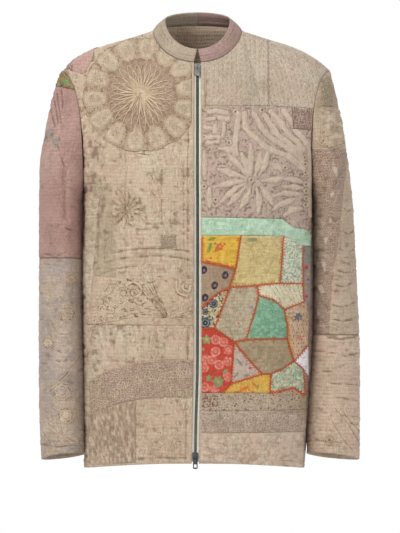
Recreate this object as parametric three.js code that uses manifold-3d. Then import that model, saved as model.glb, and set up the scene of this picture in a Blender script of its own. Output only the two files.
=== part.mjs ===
// A patched, quilted zip jacket in the shape it has when worn, with no wearer.
// Millimetres, +Z up, the front faces -Y and the wearer's left is +X.
// The origin is the middle of the neck base, at shoulder height.
import * as THREE from 'three';
import { mergeVertices } from 'three/addons/utils/BufferGeometryUtils.js';
import Module from 'manifold-3d';

const wasm = await Module();
wasm.setup();

// Driving sizes
const bodyCloth = 2.2;
const sleeveCloth = 2.0;
const collarCloth = 2.4;
const patchCloth = 1.0;
const seamGap = 0.4;
const armholeGap = 1.2;
const patchLift = 0.3;
const armpitZ = -275;
const hemZ = -744;
const hemRise = 13; // how much higher the hem is at the zip than at the sides
const halfDepth = 130;
const ringPower = 2 / 2.4; // roundness of the body ring, 1 being an ellipse
const zipHalfGap = 5.9; // from the middle of the zip to the edge of each front
const neckShare = 0.42; // share of a panel's columns that end on the neckline
const neckHalfWidth = 76;
const neckY = 20;
const neckZ = 2;
const sides = { right: -1, left: 1 };

// Tables of [height, size], read between their stops by along()
const bodyHalfWidth = {
  right: [[hemZ, 189], [-600, 195], [-450, 197], [armpitZ, 195]],
  left: [[hemZ, 186], [-600, 195], [-450, 198], [armpitZ, 196]],
};
const zipDrift = [[hemZ, -4], [-660, -2.5], [-560, 0], [0, 0]];
const shoulderPoint = { right: [231, -68], left: [226, -67] };
const sleeveOuter = {
  right: [[-730, 265], [-640, 269], [-400, 270], [-235, 269], [-194, 264], [-133, 252], [-92, 241], [-68, 231]],
  left: [[-730, 275], [-561, 276], [-459, 273], [-357, 268], [-275, 263], [-194, 252], [-112, 237], [-67, 226]],
};
const sleeveInner = {
  right: [[-730, 197], [-450, 203], [-330, 203], [armpitZ, 201], [-180, 196], [-68, 190]],
  left: [[-730, 194], [-640, 195], [-540, 206], [-330, 207], [armpitZ, 205], [-180, 198], [-68, 190]],
};
const sleeveHalfDepth = [[-730, 47], [-600, 54], [-450, 62], [-330, 69], [-200, 72], [-68, 60]];
const sleeveY = [[-730, -24], [-560, -14], [-400, -4], [-250, 0], [-68, 2]];
const sleeveSeamZ = { right: -388, left: -517 };
const cuffZ = -724;
const cuffSlope = 5; // the outside of a cuff hangs lower than its inside
const cuffTilt = 6; // and its back lower than its front

// Smooth reading of a table of [place, value] stops.
function along(stops, place) {
  const last = stops.length - 1;
  const at = Math.min(Math.max(place, stops[0][0]), stops[last][0]);
  let k = 0;
  while (k < last - 1 && at > stops[k + 1][0]) k += 1;
  const slope = (i) => {
    const a = stops[Math.max(i - 1, 0)];
    const b = stops[Math.min(i + 1, last)];
    return (b[1] - a[1]) / (b[0] - a[0]);
  };
  const [x0, y0] = stops[k];
  const [x1, y1] = stops[k + 1];
  const span = x1 - x0;
  const t = (at - x0) / span;
  const ease = t * t * (3 - 2 * t);
  const bend = t * (1 - t) * span * ((1 - t) * slope(k) - t * slope(k + 1));
  return y0 + (y1 - y0) * ease + bend;
}

const smooth = (t) => {
  const c = Math.min(Math.max(t, 0), 1);
  return c * c * (3 - 2 * c);
};

const mix = (a, b, t) => a + (b - a) * t;

// Top edge of a panel: the neckline for the first columns, then the shoulder seam.
function neckPoint(face, turn) {
  const forward = Math.cos(turn);
  const inner = face < 0 ? zipHalfGap : 0;
  const x = inner + (neckHalfWidth - inner) * Math.sin(turn);
  if (face < 0) return [x, neckY - 82 * forward, neckZ - 58 * forward ** 1.2];
  return [x, neckY + 58 * forward, neckZ + 12 * forward];
}

function shoulderSeam(side, share) {
  const [endX, endZ] = shoulderPoint[side];
  const rise = [[0, neckZ], [0.22, -9], [0.62, -29], [0.86, -49], [1, endZ]];
  return [mix(neckHalfWidth, endX, share), mix(neckY, 4, share), along(rise, share)];
}

function topPoint(side, face, s) {
  if (s <= neckShare) return neckPoint(face, (s / neckShare) * Math.PI / 2);
  return shoulderSeam(side, (s - neckShare) / (1 - neckShare));
}

// How far each column's handles reach: from the top edge down, and from the armpit ring up.
const topHandle = {
  x: [[0, 0], [neckShare, 4], [0.7, 0], [1, -44]],
  y: [[0, 40], [neckShare, 74], [0.7, 86], [1, 98]],
  z: [[0, -72], [neckShare, -32], [0.7, -22], [1, -24]],
};
const ringHandle = { x: -2, y: 72, z: 20, up: 78 };

// Horizontal ring of the body at a height; s runs from the middle (0) to the side (1).
function ringPoint(side, face, s, z) {
  const angle = s * Math.PI / 2;
  const inner = face < 0 ? zipHalfGap : 0;
  const reach = along(bodyHalfWidth[side], z) - inner;
  const fold = face > 0 ? 4 * Math.sin(6 * angle) ** 2 * smooth((armpitZ - z) / 400) * Math.cos(angle) : 0;
  return [
    inner + reach * Math.sin(angle) ** ringPower,
    face * ((halfDepth - fold) * Math.cos(angle) ** ringPower),
    z,
  ];
}

// A point of a body panel. r is 0 at the top edge, 1 at the armpit ring and 2 at the hem.
function bodyPoint(side, face, s, r) {
  const sign = sides[side];
  if (r >= 1) {
    const bottom = hemZ + hemRise * (face < 0 ? (1 - smooth(s * 0.95)) : 0.15 * (1 - s));
    const z = mix(armpitZ, bottom, r - 1);
    const [x, y] = ringPoint(side, face, s, z);
    return new THREE.Vector3(sign * x + along(zipDrift, z), y, z);
  }
  const top = topPoint(side, face, s);
  const base = ringPoint(side, face, s, armpitZ);
  const pull = s ** 4;
  const near = [
    top[0] + along(topHandle.x, s),
    top[1] + face * along(topHandle.y, s),
    top[2] + along(topHandle.z, s),
  ];
  const far = [
    base[0] + ringHandle.x * pull,
    base[1] + face * ringHandle.y * pull,
    base[2] + mix(ringHandle.up, ringHandle.z, pull),
  ];
  const t = 1 - r;
  const w = [t ** 3, 3 * t * t * r, 3 * t * r * r, r ** 3];
  const part = (i) => w[0] * top[i] + w[1] * near[i] + w[2] * far[i] + w[3] * base[i];
  return new THREE.Vector3(sign * part(0), part(1), part(2));
}

// A point of a sleeve. turn is 0 at the outside, a quarter at the front and a half at the
// underarm; u is 0 at the armhole, 1 at the seam across the sleeve and 2 at the cuff.
function sleevePoint(side, turn, u) {
  const sign = sides[side];
  const half = turn <= 0.5 ? turn * 2 : (1 - turn) * 2;
  const hole = bodyPoint(side, turn <= 0.5 ? -1 : 1, 1, half);
  const angle = turn * 2 * Math.PI;
  const seam = sleeveSeamZ[side];
  const end = cuffZ - cuffSlope * Math.cos(angle) + cuffTilt * Math.sin(angle);
  const z = u <= 1 ? mix(hole.z, seam, u) : mix(seam, end, u - 1);
  const oval = (height) => {
    const outer = along(sleeveOuter[side], height);
    const inner = along(sleeveInner[side], height);
    const fold = 2.5 * Math.sin(4 * angle) * smooth((-230 - height) / 60);
    const crease = 2.2 * Math.sin(height / 19) * Math.sin(angle) ** 2 * smooth((-300 - height) / 80);
    return [
      (outer + inner) / 2 + (outer - inner) / 2 * Math.cos(angle),
      along(sleeveY, height) - (along(sleeveHalfDepth, height) + fold + crease) * Math.sin(angle),
    ];
  };
  const [x, y] = oval(z);
  const [startX, startY] = oval(hole.z);
  const fade = 1 - smooth((hole.z - z) / mix(140, 34, smooth(half)));
  return new THREE.Vector3(
    sign * (x + (sign * hole.x - startX) * fade),
    y + (hole.y - startY) * fade,
    z,
  );
}

// A point of the collar. turn runs from the zip (0) to the middle of the back (1); up is 0 to 1.
function collarPoint(side, turn, up) {
  const angle = turn * Math.PI;
  const forward = Math.cos(angle);
  const face = turn <= 0.5 ? -1 : 1;
  const low = neckPoint(face, turn <= 0.5 ? angle : Math.PI - angle);
  const high = [
    3.4 + 56 * Math.sin(angle),
    forward > 0 ? 16 - 70 * forward : 16 - 46 * forward,
    forward > 0 ? 21 - 55 * forward ** 1.15 : 21 - 15 * forward,
  ];
  const lift = seamGap / 24;
  const t = mix(lift, 1, up);
  const bulge = 2.5 * Math.sin(Math.PI * t);
  const x = mix(low[0], high[0], t) + bulge * Math.sin(angle);
  return new THREE.Vector3(
    sides[side] * x,
    mix(low[1], high[1], t) - bulge * forward,
    mix(low[2], high[2], t),
  );
}

// The way out of a surface at (a, b), from its two slopes.
function wayOut(point, a, b, outward) {
  const step = 0.004;
  const across = point(a + step, b).sub(point(a - step, b));
  const down = point(a, b + step).sub(point(a, b - step));
  const normal = across.cross(down).normalize();
  return normal.dot(outward) < 0 ? normal.negate() : normal;
}

const keepIn = (value, low, high) => Math.min(Math.max(value, low), high);

function bodyOut(side, face, s, r) {
  const at = keepIn(s, 0.02, 0.985);
  const down = keepIn(r, 0.01, 1.99);
  const point = bodyPoint(side, face, at, down);
  const outward = new THREE.Vector3(point.x, point.y, 0).normalize();
  if (down < 0.3) outward.z += 1.5;
  return wayOut((a, b) => bodyPoint(side, face, a, b), at, down, outward);
}

function sleeveOut(side, turn, u) {
  const down = keepIn(u, 0.01, 1.99);
  const at = sleevePoint(side, turn, down);
  const middle = sleevePoint(side, 0, down).add(sleevePoint(side, 0.5, down)).multiplyScalar(0.5);
  const outward = at.clone().sub(middle);
  return wayOut((a, b) => sleevePoint(side, (a + 1) % 1, b), turn, down, outward);
}

// Walls that meet at a seam share one direction there. At the armhole the sleeve folds away
// from the panel lower down, and each then keeps its own.
const average = (...ways) => ways.reduce((sum, way) => sum.add(way), new THREE.Vector3()).normalize();

function shared(own, other) {
  const agree = smooth((own.dot(other) + 0.3) / 0.6);
  return own.clone().addScaledVector(other, agree).normalize();
}

const shoulderEnd = (side) => average(
  bodyOut(side, -1, 1, 0), bodyOut(side, 1, 1, 0), sleeveOut(side, 0, 0),
);

function panelOut(side, face, s, r) {
  const own = bodyOut(side, face, s, r);
  if (s >= 1 && r <= 0) return shoulderEnd(side);
  if (s >= 1 && r < 1) {
    const turn = face < 0 ? r / 2 : 1 - r / 2;
    return shared(own, sleeveOut(side, turn, 0));
  }
  const seam = (r <= 0 && s >= neckShare) || s >= 1;
  return seam ? average(own, bodyOut(side, -face, s, r)) : own;
}

function tubeOut(side, turn, u) {
  const own = sleeveOut(side, turn, u);
  if (u > 0.001) return own;
  if (turn <= 0) return shoulderEnd(side);
  const r = turn <= 0.5 ? turn * 2 : (1 - turn) * 2;
  return shared(own, bodyOut(side, turn <= 0.5 ? -1 : 1, 1, r));
}

// A closed wall between two offsets of a grid of { at, out }. Rows run down, columns across.
function wall(grid, outer, inner, closed = false) {
  const rows = grid.length;
  const columns = grid[0].length;
  const position = [];
  for (const offset of [outer, inner]) {
    for (const row of grid) {
      for (const { at, out } of row) {
        position.push(...at.clone().addScaledVector(out, offset).toArray());
      }
    }
  }
  const layer = rows * columns;
  const id = (k, i, j) => k * layer + i * columns + (j % columns);
  const index = [];
  const quad = (a, b, c, d) => index.push(a, b, c, a, c, d);
  const across = closed ? columns : columns - 1;
  for (let i = 0; i < rows - 1; i += 1) {
    for (let j = 0; j < across; j += 1) {
      quad(id(0, i, j), id(0, i + 1, j), id(0, i + 1, j + 1), id(0, i, j + 1));
      quad(id(1, i, j), id(1, i, j + 1), id(1, i + 1, j + 1), id(1, i + 1, j));
    }
  }
  for (let j = 0; j < across; j += 1) {
    quad(id(0, 0, j), id(0, 0, j + 1), id(1, 0, j + 1), id(1, 0, j));
    quad(id(0, rows - 1, j + 1), id(0, rows - 1, j), id(1, rows - 1, j), id(1, rows - 1, j + 1));
  }
  if (!closed) {
    for (let i = 0; i < rows - 1; i += 1) {
      const j = columns - 1;
      quad(id(0, i + 1, 0), id(0, i, 0), id(1, i, 0), id(1, i + 1, 0));
      quad(id(0, i, j), id(0, i + 1, j), id(1, i + 1, j), id(1, i, j));
    }
  }
  return facingOut(position, index);
}

function facingOut(position, index) {
  const corner = (n) => new THREE.Vector3().fromArray(position, index[n] * 3);
  let volume = 0;
  for (let n = 0; n < index.length; n += 3) {
    volume += corner(n).dot(corner(n + 1).cross(corner(n + 2)));
  }
  if (volume < 0) index.reverse();
  const geometry = new THREE.BufferGeometry();
  geometry.setAttribute('position', new THREE.Float32BufferAttribute(position, 3));
  geometry.setIndex(index);
  return geometry;
}

// Solids for joining and cutting
function solidOf(geometry) {
  const bare = geometry.clone();
  bare.deleteAttribute('normal');
  bare.deleteAttribute('uv');
  const merged = mergeVertices(bare, 1e-3);
  return new wasm.Manifold(new wasm.Mesh({
    numProp: 3,
    vertProperties: new Float32Array(merged.attributes.position.array),
    triVerts: new Uint32Array(merged.index.array),
  }));
}

function geometryOf(solid) {
  const { vertProperties, triVerts } = solid.getMesh();
  const geometry = new THREE.BufferGeometry();
  geometry.setAttribute('position', new THREE.BufferAttribute(vertProperties, 3));
  geometry.setIndex(new THREE.BufferAttribute(triVerts, 1));
  return geometry;
}

const jacket = new THREE.Group();

function add(name, geometry, color, roughness = 0.9, metalness = 0, parent = jacket) {
  const material = new THREE.MeshStandardMaterial({ color, roughness, metalness });
  const mesh = new THREE.Mesh(geometry, material);
  mesh.name = name;
  parent.add(mesh);
  return mesh;
}

const beige = 0xcdb99e;
const dustyPink = 0xb8948a;

// Body panels. The thin first and last cells let a patch stop just short of a seam.
const upperRows = [0, 0.03, 0.2, 0.4, 0.6, 0.8, 1];
const panelRows = [...upperRows, 1.14, 1.28, 1.42, 1.56, 1.7, 1.84, 2];
const outerColumns = [neckShare, 0.55, 0.68, 0.8, 0.9, 0.985, 1];
const frontColumns = [...[0, 0.2, 0.4, 0.6, 0.8].map((share) => share * neckShare), ...outerColumns];
const backColumns = [...[0, 0.25, 0.5, 0.75].map((share) => share * neckShare), ...outerColumns];

function panelGrid(side, face, columns, rows) {
  return rows.map((r) => columns.map((s) => {
    const at = bodyPoint(side, face, s, r);
    if (s >= 1) at.y += face * seamGap / 2;
    if (r <= 0 && s >= neckShare) at.y += face * seamGap / 2;
    return { at, out: panelOut(side, face, s, r) };
  }));
}

const fronts = {};
for (const side of ['right', 'left']) {
  fronts[side] = panelGrid(side, -1, frontColumns, panelRows);
  add('front_' + side, wall(fronts[side], 0, -bodyCloth), beige);
}

const backHalves = {
  right: panelGrid('right', 1, backColumns, panelRows),
  left: panelGrid('left', 1, backColumns, panelRows),
};
const backGrid = backHalves.right.map((row, i) => [...row.slice(1).reverse(), ...backHalves.left[i]]);
add('back', wall(backGrid, 0, -bodyCloth), beige);

// Sleeves, each an upper and a lower tube that meet at a seam across the arm. Every row of a
// panel has a column of the sleeve at the armhole, and there is one more between them.
const holeShares = [0, 0.03, 0.1, 0.2, 0.3, 0.4, 0.5, 0.6, 0.7, 0.8, 0.9, 1];
const sleeveTurns = [
  ...holeShares.map((share) => share / 2),
  ...holeShares.slice(1, -1).reverse().map((share) => 1 - share / 2),
];
const firstCell = 0.02;
const sleeveUpperRows = [0, firstCell, 0.14, 0.3, 0.48, 0.66, 0.84, 1];
const sleeveLowerRows = { right: [1, 1.15, 1.32, 1.5, 1.68, 1.86, 2], left: [1, 1.25, 1.5, 1.75, 2] };

// A place on the straight edges between the corners of a panel's armhole.
function holePlace(side, turn) {
  const face = turn <= 0.5 ? -1 : 1;
  const share = Math.min(turn, 1 - turn) * 2;
  const k = Math.max(upperRows.findIndex((r) => r >= share - 1e-6), 1);
  const [low, high] = [upperRows[k - 1], upperRows[k]];
  const turnOf = (r) => (face < 0 ? r / 2 : 1 - r / 2);
  const t = (share - low) / (high - low);
  return {
    at: bodyPoint(side, face, 1, low).lerp(bodyPoint(side, face, 1, high), t),
    out: tubeOut(side, turnOf(low) % 1, 0).lerp(tubeOut(side, turnOf(high), 0), t).normalize(),
  };
}

function sleeveGrid(side, rows) {
  return rows.map((u, i) => sleeveTurns.map((turn) => {
    if (u <= 0) {
      const { at, out } = holePlace(side, turn);
      const down = sleevePoint(side, turn, firstCell).sub(at).normalize();
      return { at: at.addScaledVector(down, armholeGap), out };
    }
    const at = sleevePoint(side, turn, u);
    if (u === 1) at.z += (i > 0 ? 1 : -1) * seamGap / 2;
    return { at, out: tubeOut(side, turn, u) };
  }));
}

const sleeves = {
  right: sleeveGrid('right', sleeveUpperRows),
  left: sleeveGrid('left', sleeveUpperRows),
};
for (const side of ['right', 'left']) {
  const color = side === 'right' ? dustyPink : beige;
  add('sleeve_' + side + '_upper', wall(sleeves[side], 0, -sleeveCloth, true), color);
  add('sleeve_' + side + '_lower', wall(sleeveGrid(side, sleeveLowerRows[side]), 0, -sleeveCloth, true), beige);
}

// Collar halves
const collarTurns = [0, 0.1, 0.2, 0.3, 0.4, 0.5, 0.625, 0.75, 0.875, 1];
for (const side of ['right', 'left']) {
  const grid = [1, 0.5, 0].map((up) => collarTurns.map((turn) => {
    const at = collarPoint(side, turn, up);
    if (turn === 1) at.x = sides[side] * seamGap / 2;
    const inside = keepIn(turn, 0.02, 0.98);
    const outward = new THREE.Vector3(at.x, at.y - neckY, 5);
    return { at, out: wayOut((a, b) => collarPoint(side, a, b), inside, keepIn(up, 0.02, 0.98), outward) };
  }));
  add('collar_' + side, wall(grid, 0, -collarCloth), side === 'right' ? beige : 0xaf8c84);
}

// Zip: tapes behind the fronts' edges and the two chains between them
const chainHalfWidth = 2.2;
const chainHalfDepth = 1.2;
const tapeEdge = 14;
const tapeDepth = -2.6; // of the tape's outer face, below the fronts' outer face
const tapeCloth = 0.8;
const chainMiddle = tapeDepth - tapeCloth / 2;
const zipRows = panelRows.map((r) => keepIn(r, 0.012, 1.985));

function zipPlace(r) {
  const at = bodyPoint('left', -1, 0, r);
  at.x -= zipHalfGap;
  const out = bodyOut('left', -1, 0, r);
  out.x = 0;
  return { at, out: out.normalize() };
}

const zipHeight = (z) => {
  let [low, high] = [0, 2];
  while (high - low > 1e-5) {
    const middle = (low + high) / 2;
    if (zipPlace(middle).at.z > z) low = middle;
    else high = middle;
  }
  return low;
};

function strip(rows, from, to) {
  return rows.map((r) => [from, to].map((x) => {
    const place = zipPlace(r);
    const across = Math.abs(x) > zipHalfGap ? bodyOut(x < 0 ? 'right' : 'left', -1, 0.05, r) : place.out;
    place.at.x += x;
    if (Math.abs(x) > zipHalfGap) place.at.addScaledVector(place.out, -0.5);
    return { at: place.at, out: shared(place.out, across) };
  }));
}

const sliderLength = 13;
const topSliderZ = -65;
const bottomSliderZ = -719;
const chainEnds = [topSliderZ + 1, bottomSliderZ - 1];
const [chainTop, chainBottom] = chainEnds.map(zipHeight);
const chainRows = [chainTop, ...zipRows.filter((r) => r > chainTop + 0.02 && r < chainBottom - 0.02), chainBottom];
for (const side of ['right', 'left']) {
  const sign = sides[side];
  const tape = strip(zipRows, sign * (chainHalfWidth + 0.3), sign * tapeEdge);
  add('zip_tape_' + side, wall(tape, tapeDepth, tapeDepth - tapeCloth), 0xe1e1d2);
  const chain = strip(chainRows, sign * seamGap / 2, sign * chainHalfWidth);
  add(
    'zip_chain_' + side,
    wall(chain, chainMiddle + chainHalfDepth, chainMiddle - chainHalfDepth),
    0x4b554b, 0.45, 0.9,
  );
}

// Sliders and pulls. Each has its own frame: +Z up the zip, -Y out of the cloth, and its
// origin in the middle of the chain.
const plateGap = chainHalfDepth + 0.4;
const plateThick = 1.4;
const plateHalfWidth = 4.4;
const faceY = -(plateGap + plateThick);
const postLength = 3;
const staple = { width: 1.6, high: 4, bar: 1.1, opening: 1.9 };
const hingeHeight = 1.35; // of the pull's top bar above the slider's face
const pullSize = { width: 8, length: 19, thick: 1.5, slot: 3.6, bar: 0.75 };

const block = (sx, sy, sz, x, y, z) => solidOf(new THREE.BoxGeometry(sx, sy, sz).translate(x, y, z));

// An outline in the YZ plane, drawn as [y, z], with a thickness along X.
function sideways(points, width) {
  const shape = new THREE.Shape(points.map(([y, z]) => new THREE.Vector2(y, z)));
  const turned = new THREE.Matrix4().makeBasis(
    new THREE.Vector3(0, 1, 0), new THREE.Vector3(0, 0, 1), new THREE.Vector3(1, 0, 0),
  );
  const geometry = new THREE.ExtrudeGeometry(shape, { depth: width, bevelEnabled: false });
  return solidOf(geometry.translate(0, 0, -width / 2).applyMatrix4(turned));
}

function sliderSolid(bailZ, postEnd) {
  const middle = plateGap + plateThick / 2;
  const front = block(2 * plateHalfWidth, plateThick, sliderLength, 0, -middle, 0);
  const back = block(2 * plateHalfWidth, plateThick, sliderLength, 0, middle, 0);
  const postZ = postEnd * (sliderLength - postLength) / 2;
  const post = block(2.4, 2 * middle, postLength, 0, 0, postZ);
  const leg = staple.opening + staple.bar;
  const arch = sideways([
    [faceY + 0.5, bailZ - leg], [faceY - staple.high + 1, bailZ - leg], [faceY - staple.high, bailZ - leg + 1],
    [faceY - staple.high, bailZ + leg - 1], [faceY - staple.high + 1, bailZ + leg], [faceY + 0.5, bailZ + leg],
    [faceY + 0.5, bailZ + staple.opening], [faceY - staple.high + staple.bar, bailZ + staple.opening],
    [faceY - staple.high + staple.bar, bailZ - staple.opening], [faceY + 0.5, bailZ - staple.opening],
  ], staple.width);
  return front.add(back).add(post).add(arch);
}

// The pull in its hinge's frame: the origin is on the axis and the tab hangs to -Z.
function pullSolid(window) {
  const { width, length, thick, slot, bar } = pullSize;
  const round = width * 0.3;
  const shape = new THREE.Shape();
  const bottom = -(length - bar);
  shape.moveTo(-width / 2 + 1, bar);
  shape.lineTo(width / 2 - 1, bar);
  shape.lineTo(width / 2, bar - 1);
  shape.lineTo(width / 2, bottom + round);
  shape.quadraticCurveTo(width / 2, bottom, width / 2 - round, bottom);
  shape.lineTo(-width / 2 + round, bottom);
  shape.quadraticCurveTo(-width / 2, bottom, -width / 2, bottom + round);
  shape.lineTo(-width / 2, bar - 1);
  const options = { depth: thick, bevelEnabled: false, curveSegments: 3 };
  const plate = new THREE.ExtrudeGeometry(shape, options).rotateX(Math.PI / 2).translate(0, thick / 2, 0);
  const tab = solidOf(plate).subtract(block(3, 2 * thick, slot, 0, 0, -bar - slot / 2));
  return geometryOf(window ? tab.subtract(block(4.2, 2 * thick, 5, 0, 0, bottom + 5)) : tab);
}

function slider(name, z, bailZ, postEnd, window, color) {
  const { at, out } = zipPlace(zipHeight(z));
  const frame = new THREE.Group();
  frame.position.copy(at).addScaledVector(out, chainMiddle);
  frame.rotation.x = -Math.atan2(out.z, -out.y);
  jacket.add(frame);
  add('zip_slider_' + name, geometryOf(sliderSolid(bailZ, postEnd)), color, 0.4, 0.9, frame);
  const pull = add('zip_pull_' + name, pullSolid(window), color, 0.4, 0.9, frame);
  pull.position.set(0, faceY - hingeHeight, bailZ);
}

slider('top', topSliderZ, -1, 1, false, 0xa0a3a5);
slider('bottom', bottomSliderZ, -2.5, -1, true, 0x55585a);

// Patches. Each is cut from its panel's outer face, moved out, by a prism along Y.
const deepCut = 260;

function inset(outline, gap) {
  const count = outline.length;
  let area = 0;
  outline.forEach(([x, z], k) => {
    const [nextX, nextZ] = outline[(k + 1) % count];
    area += x * nextZ - nextX * z;
  });
  const turn = Math.sign(area);
  return outline.map((point, k) => {
    const before = outline[(k + count - 1) % count];
    const after = outline[(k + 1) % count];
    const side = ([x0, z0], [x1, z1]) => {
      const length = Math.hypot(x1 - x0, z1 - z0);
      return [-(z1 - z0) / length * turn, (x1 - x0) / length * turn];
    };
    const a = side(before, point);
    const b = side(point, after);
    const scale = gap / (1 + a[0] * b[0] + a[1] * b[1]);
    return [point[0] + (a[0] + b[0]) * scale, point[1] + (a[1] + b[1]) * scale];
  });
}

function patch(name, shell, outline, color) {
  const points = inset(outline, seamGap / 2).map(([x, z]) => new THREE.Vector2(x, z));
  const options = { depth: deepCut, bevelEnabled: false };
  const prism = new THREE.ExtrudeGeometry(new THREE.Shape(points), options).rotateX(Math.PI / 2);
  prism.translate(0, -8, 0);
  add(name, geometryOf(shell.intersect(solidOf(prism))), color);
}

const shellOf = (grid, closed) => solidOf(wall(grid, patchLift + patchCloth, patchLift, closed));
const shells = {
  right: shellOf(fronts.right.slice(1).map((row) => row.slice(0, -1)), false),
  left: shellOf(fronts.left.slice(1).map((row) => row.slice(0, -1)), false),
  sleeveRight: shellOf(sleeves.right.slice(1), true),
  sleeveLeft: shellOf(sleeves.left.slice(1), true),
};

// Corners that neighbouring patches share on the left front, as [x, z]
const c = {
  cutTop: [6.8, -136], laceTop: [160, -133], laceSide: [184, -139], laceLow: [184, -170], laceIn: [161, -170],
  mintA: [6.8, -320], mintB: [142, -322], mintC: [162, -337], mintD: [181, -338], mintE: [190, -348],
  mintF: [192, -368], lowA: [6.8, -350], lowB: [72.5, -350], lowC: [144, -351], lowD: [166, -358], lowE: [177, -367],
  yellowLow: [6.8, -394], yellowIn: [64, -406], khakiRight: [141, -430], khakiLeft: [57, -437],
  stripLow: [177, -431], brownIn: [34, -447], brownLow: [6.8, -471], rosetteLow: [7, -506], rosetteIn: [28, -505],
  rosetteUp: [34, -490], sageTop: [100, -433.4], sageRight: [102, -450], sageSide: [96, -477], sageLow: [81, -524],
  sageEnd: [61, -528], creamRight: [179, -462], creamLow: [145, -474], creamIn: [128, -458],
  greenSide: [151, -505], greenLow: [150, -523], manyTop: [189, -483], manyLow: [187, -535], manyEnd: [162, -561],
  oliveA: [140, -575], oliveB: [123, -582], oliveC: [108, -582], oliveD: [84, -556],
  redLow: [56, -598], redEnd: [42, -613], redSide: [7, -613.5], yellowEnd: [121, -614],
  mintSide: [178, -575], mintEnd: [182, -615], scrapLow: [186, -588], darkLow: [191, -462],
  bandRight: [184.5, -643], bandLeft: [6.5, -643], laceRight: [183, -680], laceLeft: [6, -680],
  hemA: [4, -727], hemB: [60, -732], hemC: [120, -738], hemD: [178, -741],
};

const leftPatches = [
  ['mauve_lace_piece', 0xa98e86, [c.laceTop, c.laceSide, c.laceLow, c.laceIn]],
  ['cutwork_panel', 0xb9a793, [c.cutTop, c.laceTop, c.laceIn, c.laceLow, c.mintE, c.mintD, c.mintC, c.mintB, c.mintA]],
  ['mint_band', 0xafcdaf, [c.mintA, c.mintB, c.mintC, c.mintD, c.mintE, c.mintF, c.lowE, c.lowD, c.lowC, c.lowB, c.lowA]],
  ['dark_print_strip', 0x6b5a4e, [c.lowE, c.mintF, c.darkLow, c.creamRight, c.stripLow]],
  ['patch_yellow_flowers', 0xdeb250, [c.lowA, c.lowB, c.yellowIn, c.yellowLow]],
  ['patch_khaki', 0xd0bc82, [c.lowB, c.lowC, c.khakiRight, c.sageTop, c.khakiLeft, c.yellowIn]],
  ['patch_mint_strip', 0xc3cbb0, [c.lowC, c.lowD, c.lowE, c.stripLow, c.khakiRight]],
  ['patch_brown_dots', 0x8e8064, [c.yellowLow, c.yellowIn, c.khakiLeft, c.brownIn, c.brownLow]],
  ['patch_rosettes', 0x7c7060, [c.brownLow, c.brownIn, c.khakiLeft, c.rosetteUp, c.rosetteIn, c.rosetteLow]],
  ['patch_sage', 0xb4a88a,
    [c.khakiLeft, c.sageTop, c.sageRight, c.sageSide, c.sageLow, c.sageEnd, c.rosetteIn, c.rosetteUp]],
  ['patch_cream_stripes', 0xd6c9a4,
    [c.sageTop, c.khakiRight, c.stripLow, c.creamRight, c.creamLow, c.creamIn, c.sageRight]],
  ['patch_green', 0x78a582,
    [c.sageRight, c.creamIn, c.creamLow, c.greenSide, c.greenLow, c.sageLow, c.sageSide]],
  ['patch_many_flowers', 0xc8b292,
    [c.creamLow, c.creamRight, c.manyTop, c.manyLow, c.manyEnd, c.greenLow, c.greenSide]],
  ['patch_olive', 0xa08e6e,
    [c.sageEnd, c.sageLow, c.greenLow, c.manyEnd, c.oliveA, c.oliveB, c.oliveC, c.oliveD]],
  ['patch_red_curls', 0xbe4132, [c.rosetteLow, c.rosetteIn, c.sageEnd, c.redLow, c.redEnd, c.redSide]],
  ['patch_mauve_triangle', 0xa89a90, [c.sageEnd, c.oliveD, c.oliveC, c.redLow]],
  ['patch_yellow_leaves', 0xd8a94e, [c.redLow, c.oliveC, c.oliveB, c.yellowEnd, c.redEnd]],
  ['patch_mint_flowers', 0xb9c3a4, [c.oliveB, c.oliveA, c.manyEnd, c.mintSide, c.mintEnd, c.yellowEnd]],
  ['patch_white_scrap', 0xd7d4dc, [c.manyEnd, c.manyLow, c.scrapLow, c.mintSide]],
  ['crochet_band', 0xc4ae90, [c.redSide, c.redEnd, c.yellowEnd, c.mintEnd, c.bandRight, c.bandLeft]],
  ['lace_hem_band', 0xcbb79b, [c.bandLeft, c.bandRight, c.laceRight, c.laceLeft]],
  ['hem_band_left', 0xcdb99e, [c.laceLeft, c.laceRight, c.hemD, c.hemC, c.hemB, c.hemA]],
];
for (const [name, color, outline] of leftPatches) patch(name, shells.left, outline, color);

// The lace medallion is a round flattened at the zip edge.
const medallion = { x: -94, z: -111, radius: 100, edge: -9, corners: 28 };
const medallionOutline = Array.from({ length: medallion.corners }, (_, k) => {
  const angle = (k + 0.5) / medallion.corners * 2 * Math.PI;
  const x = medallion.x + medallion.radius * Math.cos(angle);
  return [Math.min(x, medallion.edge + 0.5 * Math.sin(angle)), medallion.z + medallion.radius * Math.sin(angle)];
});

const rightPatches = [
  ['lace_medallion', 0xd2bb9d, medallionOutline],
  ['shoulder_patch', dustyPink,
    [[-173, -12], [-177, -50], [-190, -75], [-199, -76], [-214, -69], [-226, -60], [-226, -25]]],
  ['dotted_side_strip', 0xc3b199,
    [[-187, -285], [-164, -287], [-174, -418], [-186, -500], [-190, -420], [-190, -320]]],
  ['embroidered_band', 0xccb596, [[-7, -422], [-100, -425], [-174, -418], [-186, -500], [-7, -501]]],
  ['mesh_square', 0xc2ad90, [[-62, -350], [-35, -349], [-35, -371], [-61, -372]]],
  ['lace_slant_band', 0xc9b08d,
    [[-184, -596], [-156, -578], [-100, -561], [-45, -556], [-7, -557],
      [-8, -620], [-82, -622], [-102, -625.5], [-128, -630], [-180, -650]]],
  ['ruched_panel', 0xcbb698, [[-180, -650], [-128, -630], [-102, -625.5], [-103, -730], [-177, -737]]],
];
for (const [name, color, outline] of rightPatches) patch(name, shells.right, outline, color);

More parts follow.
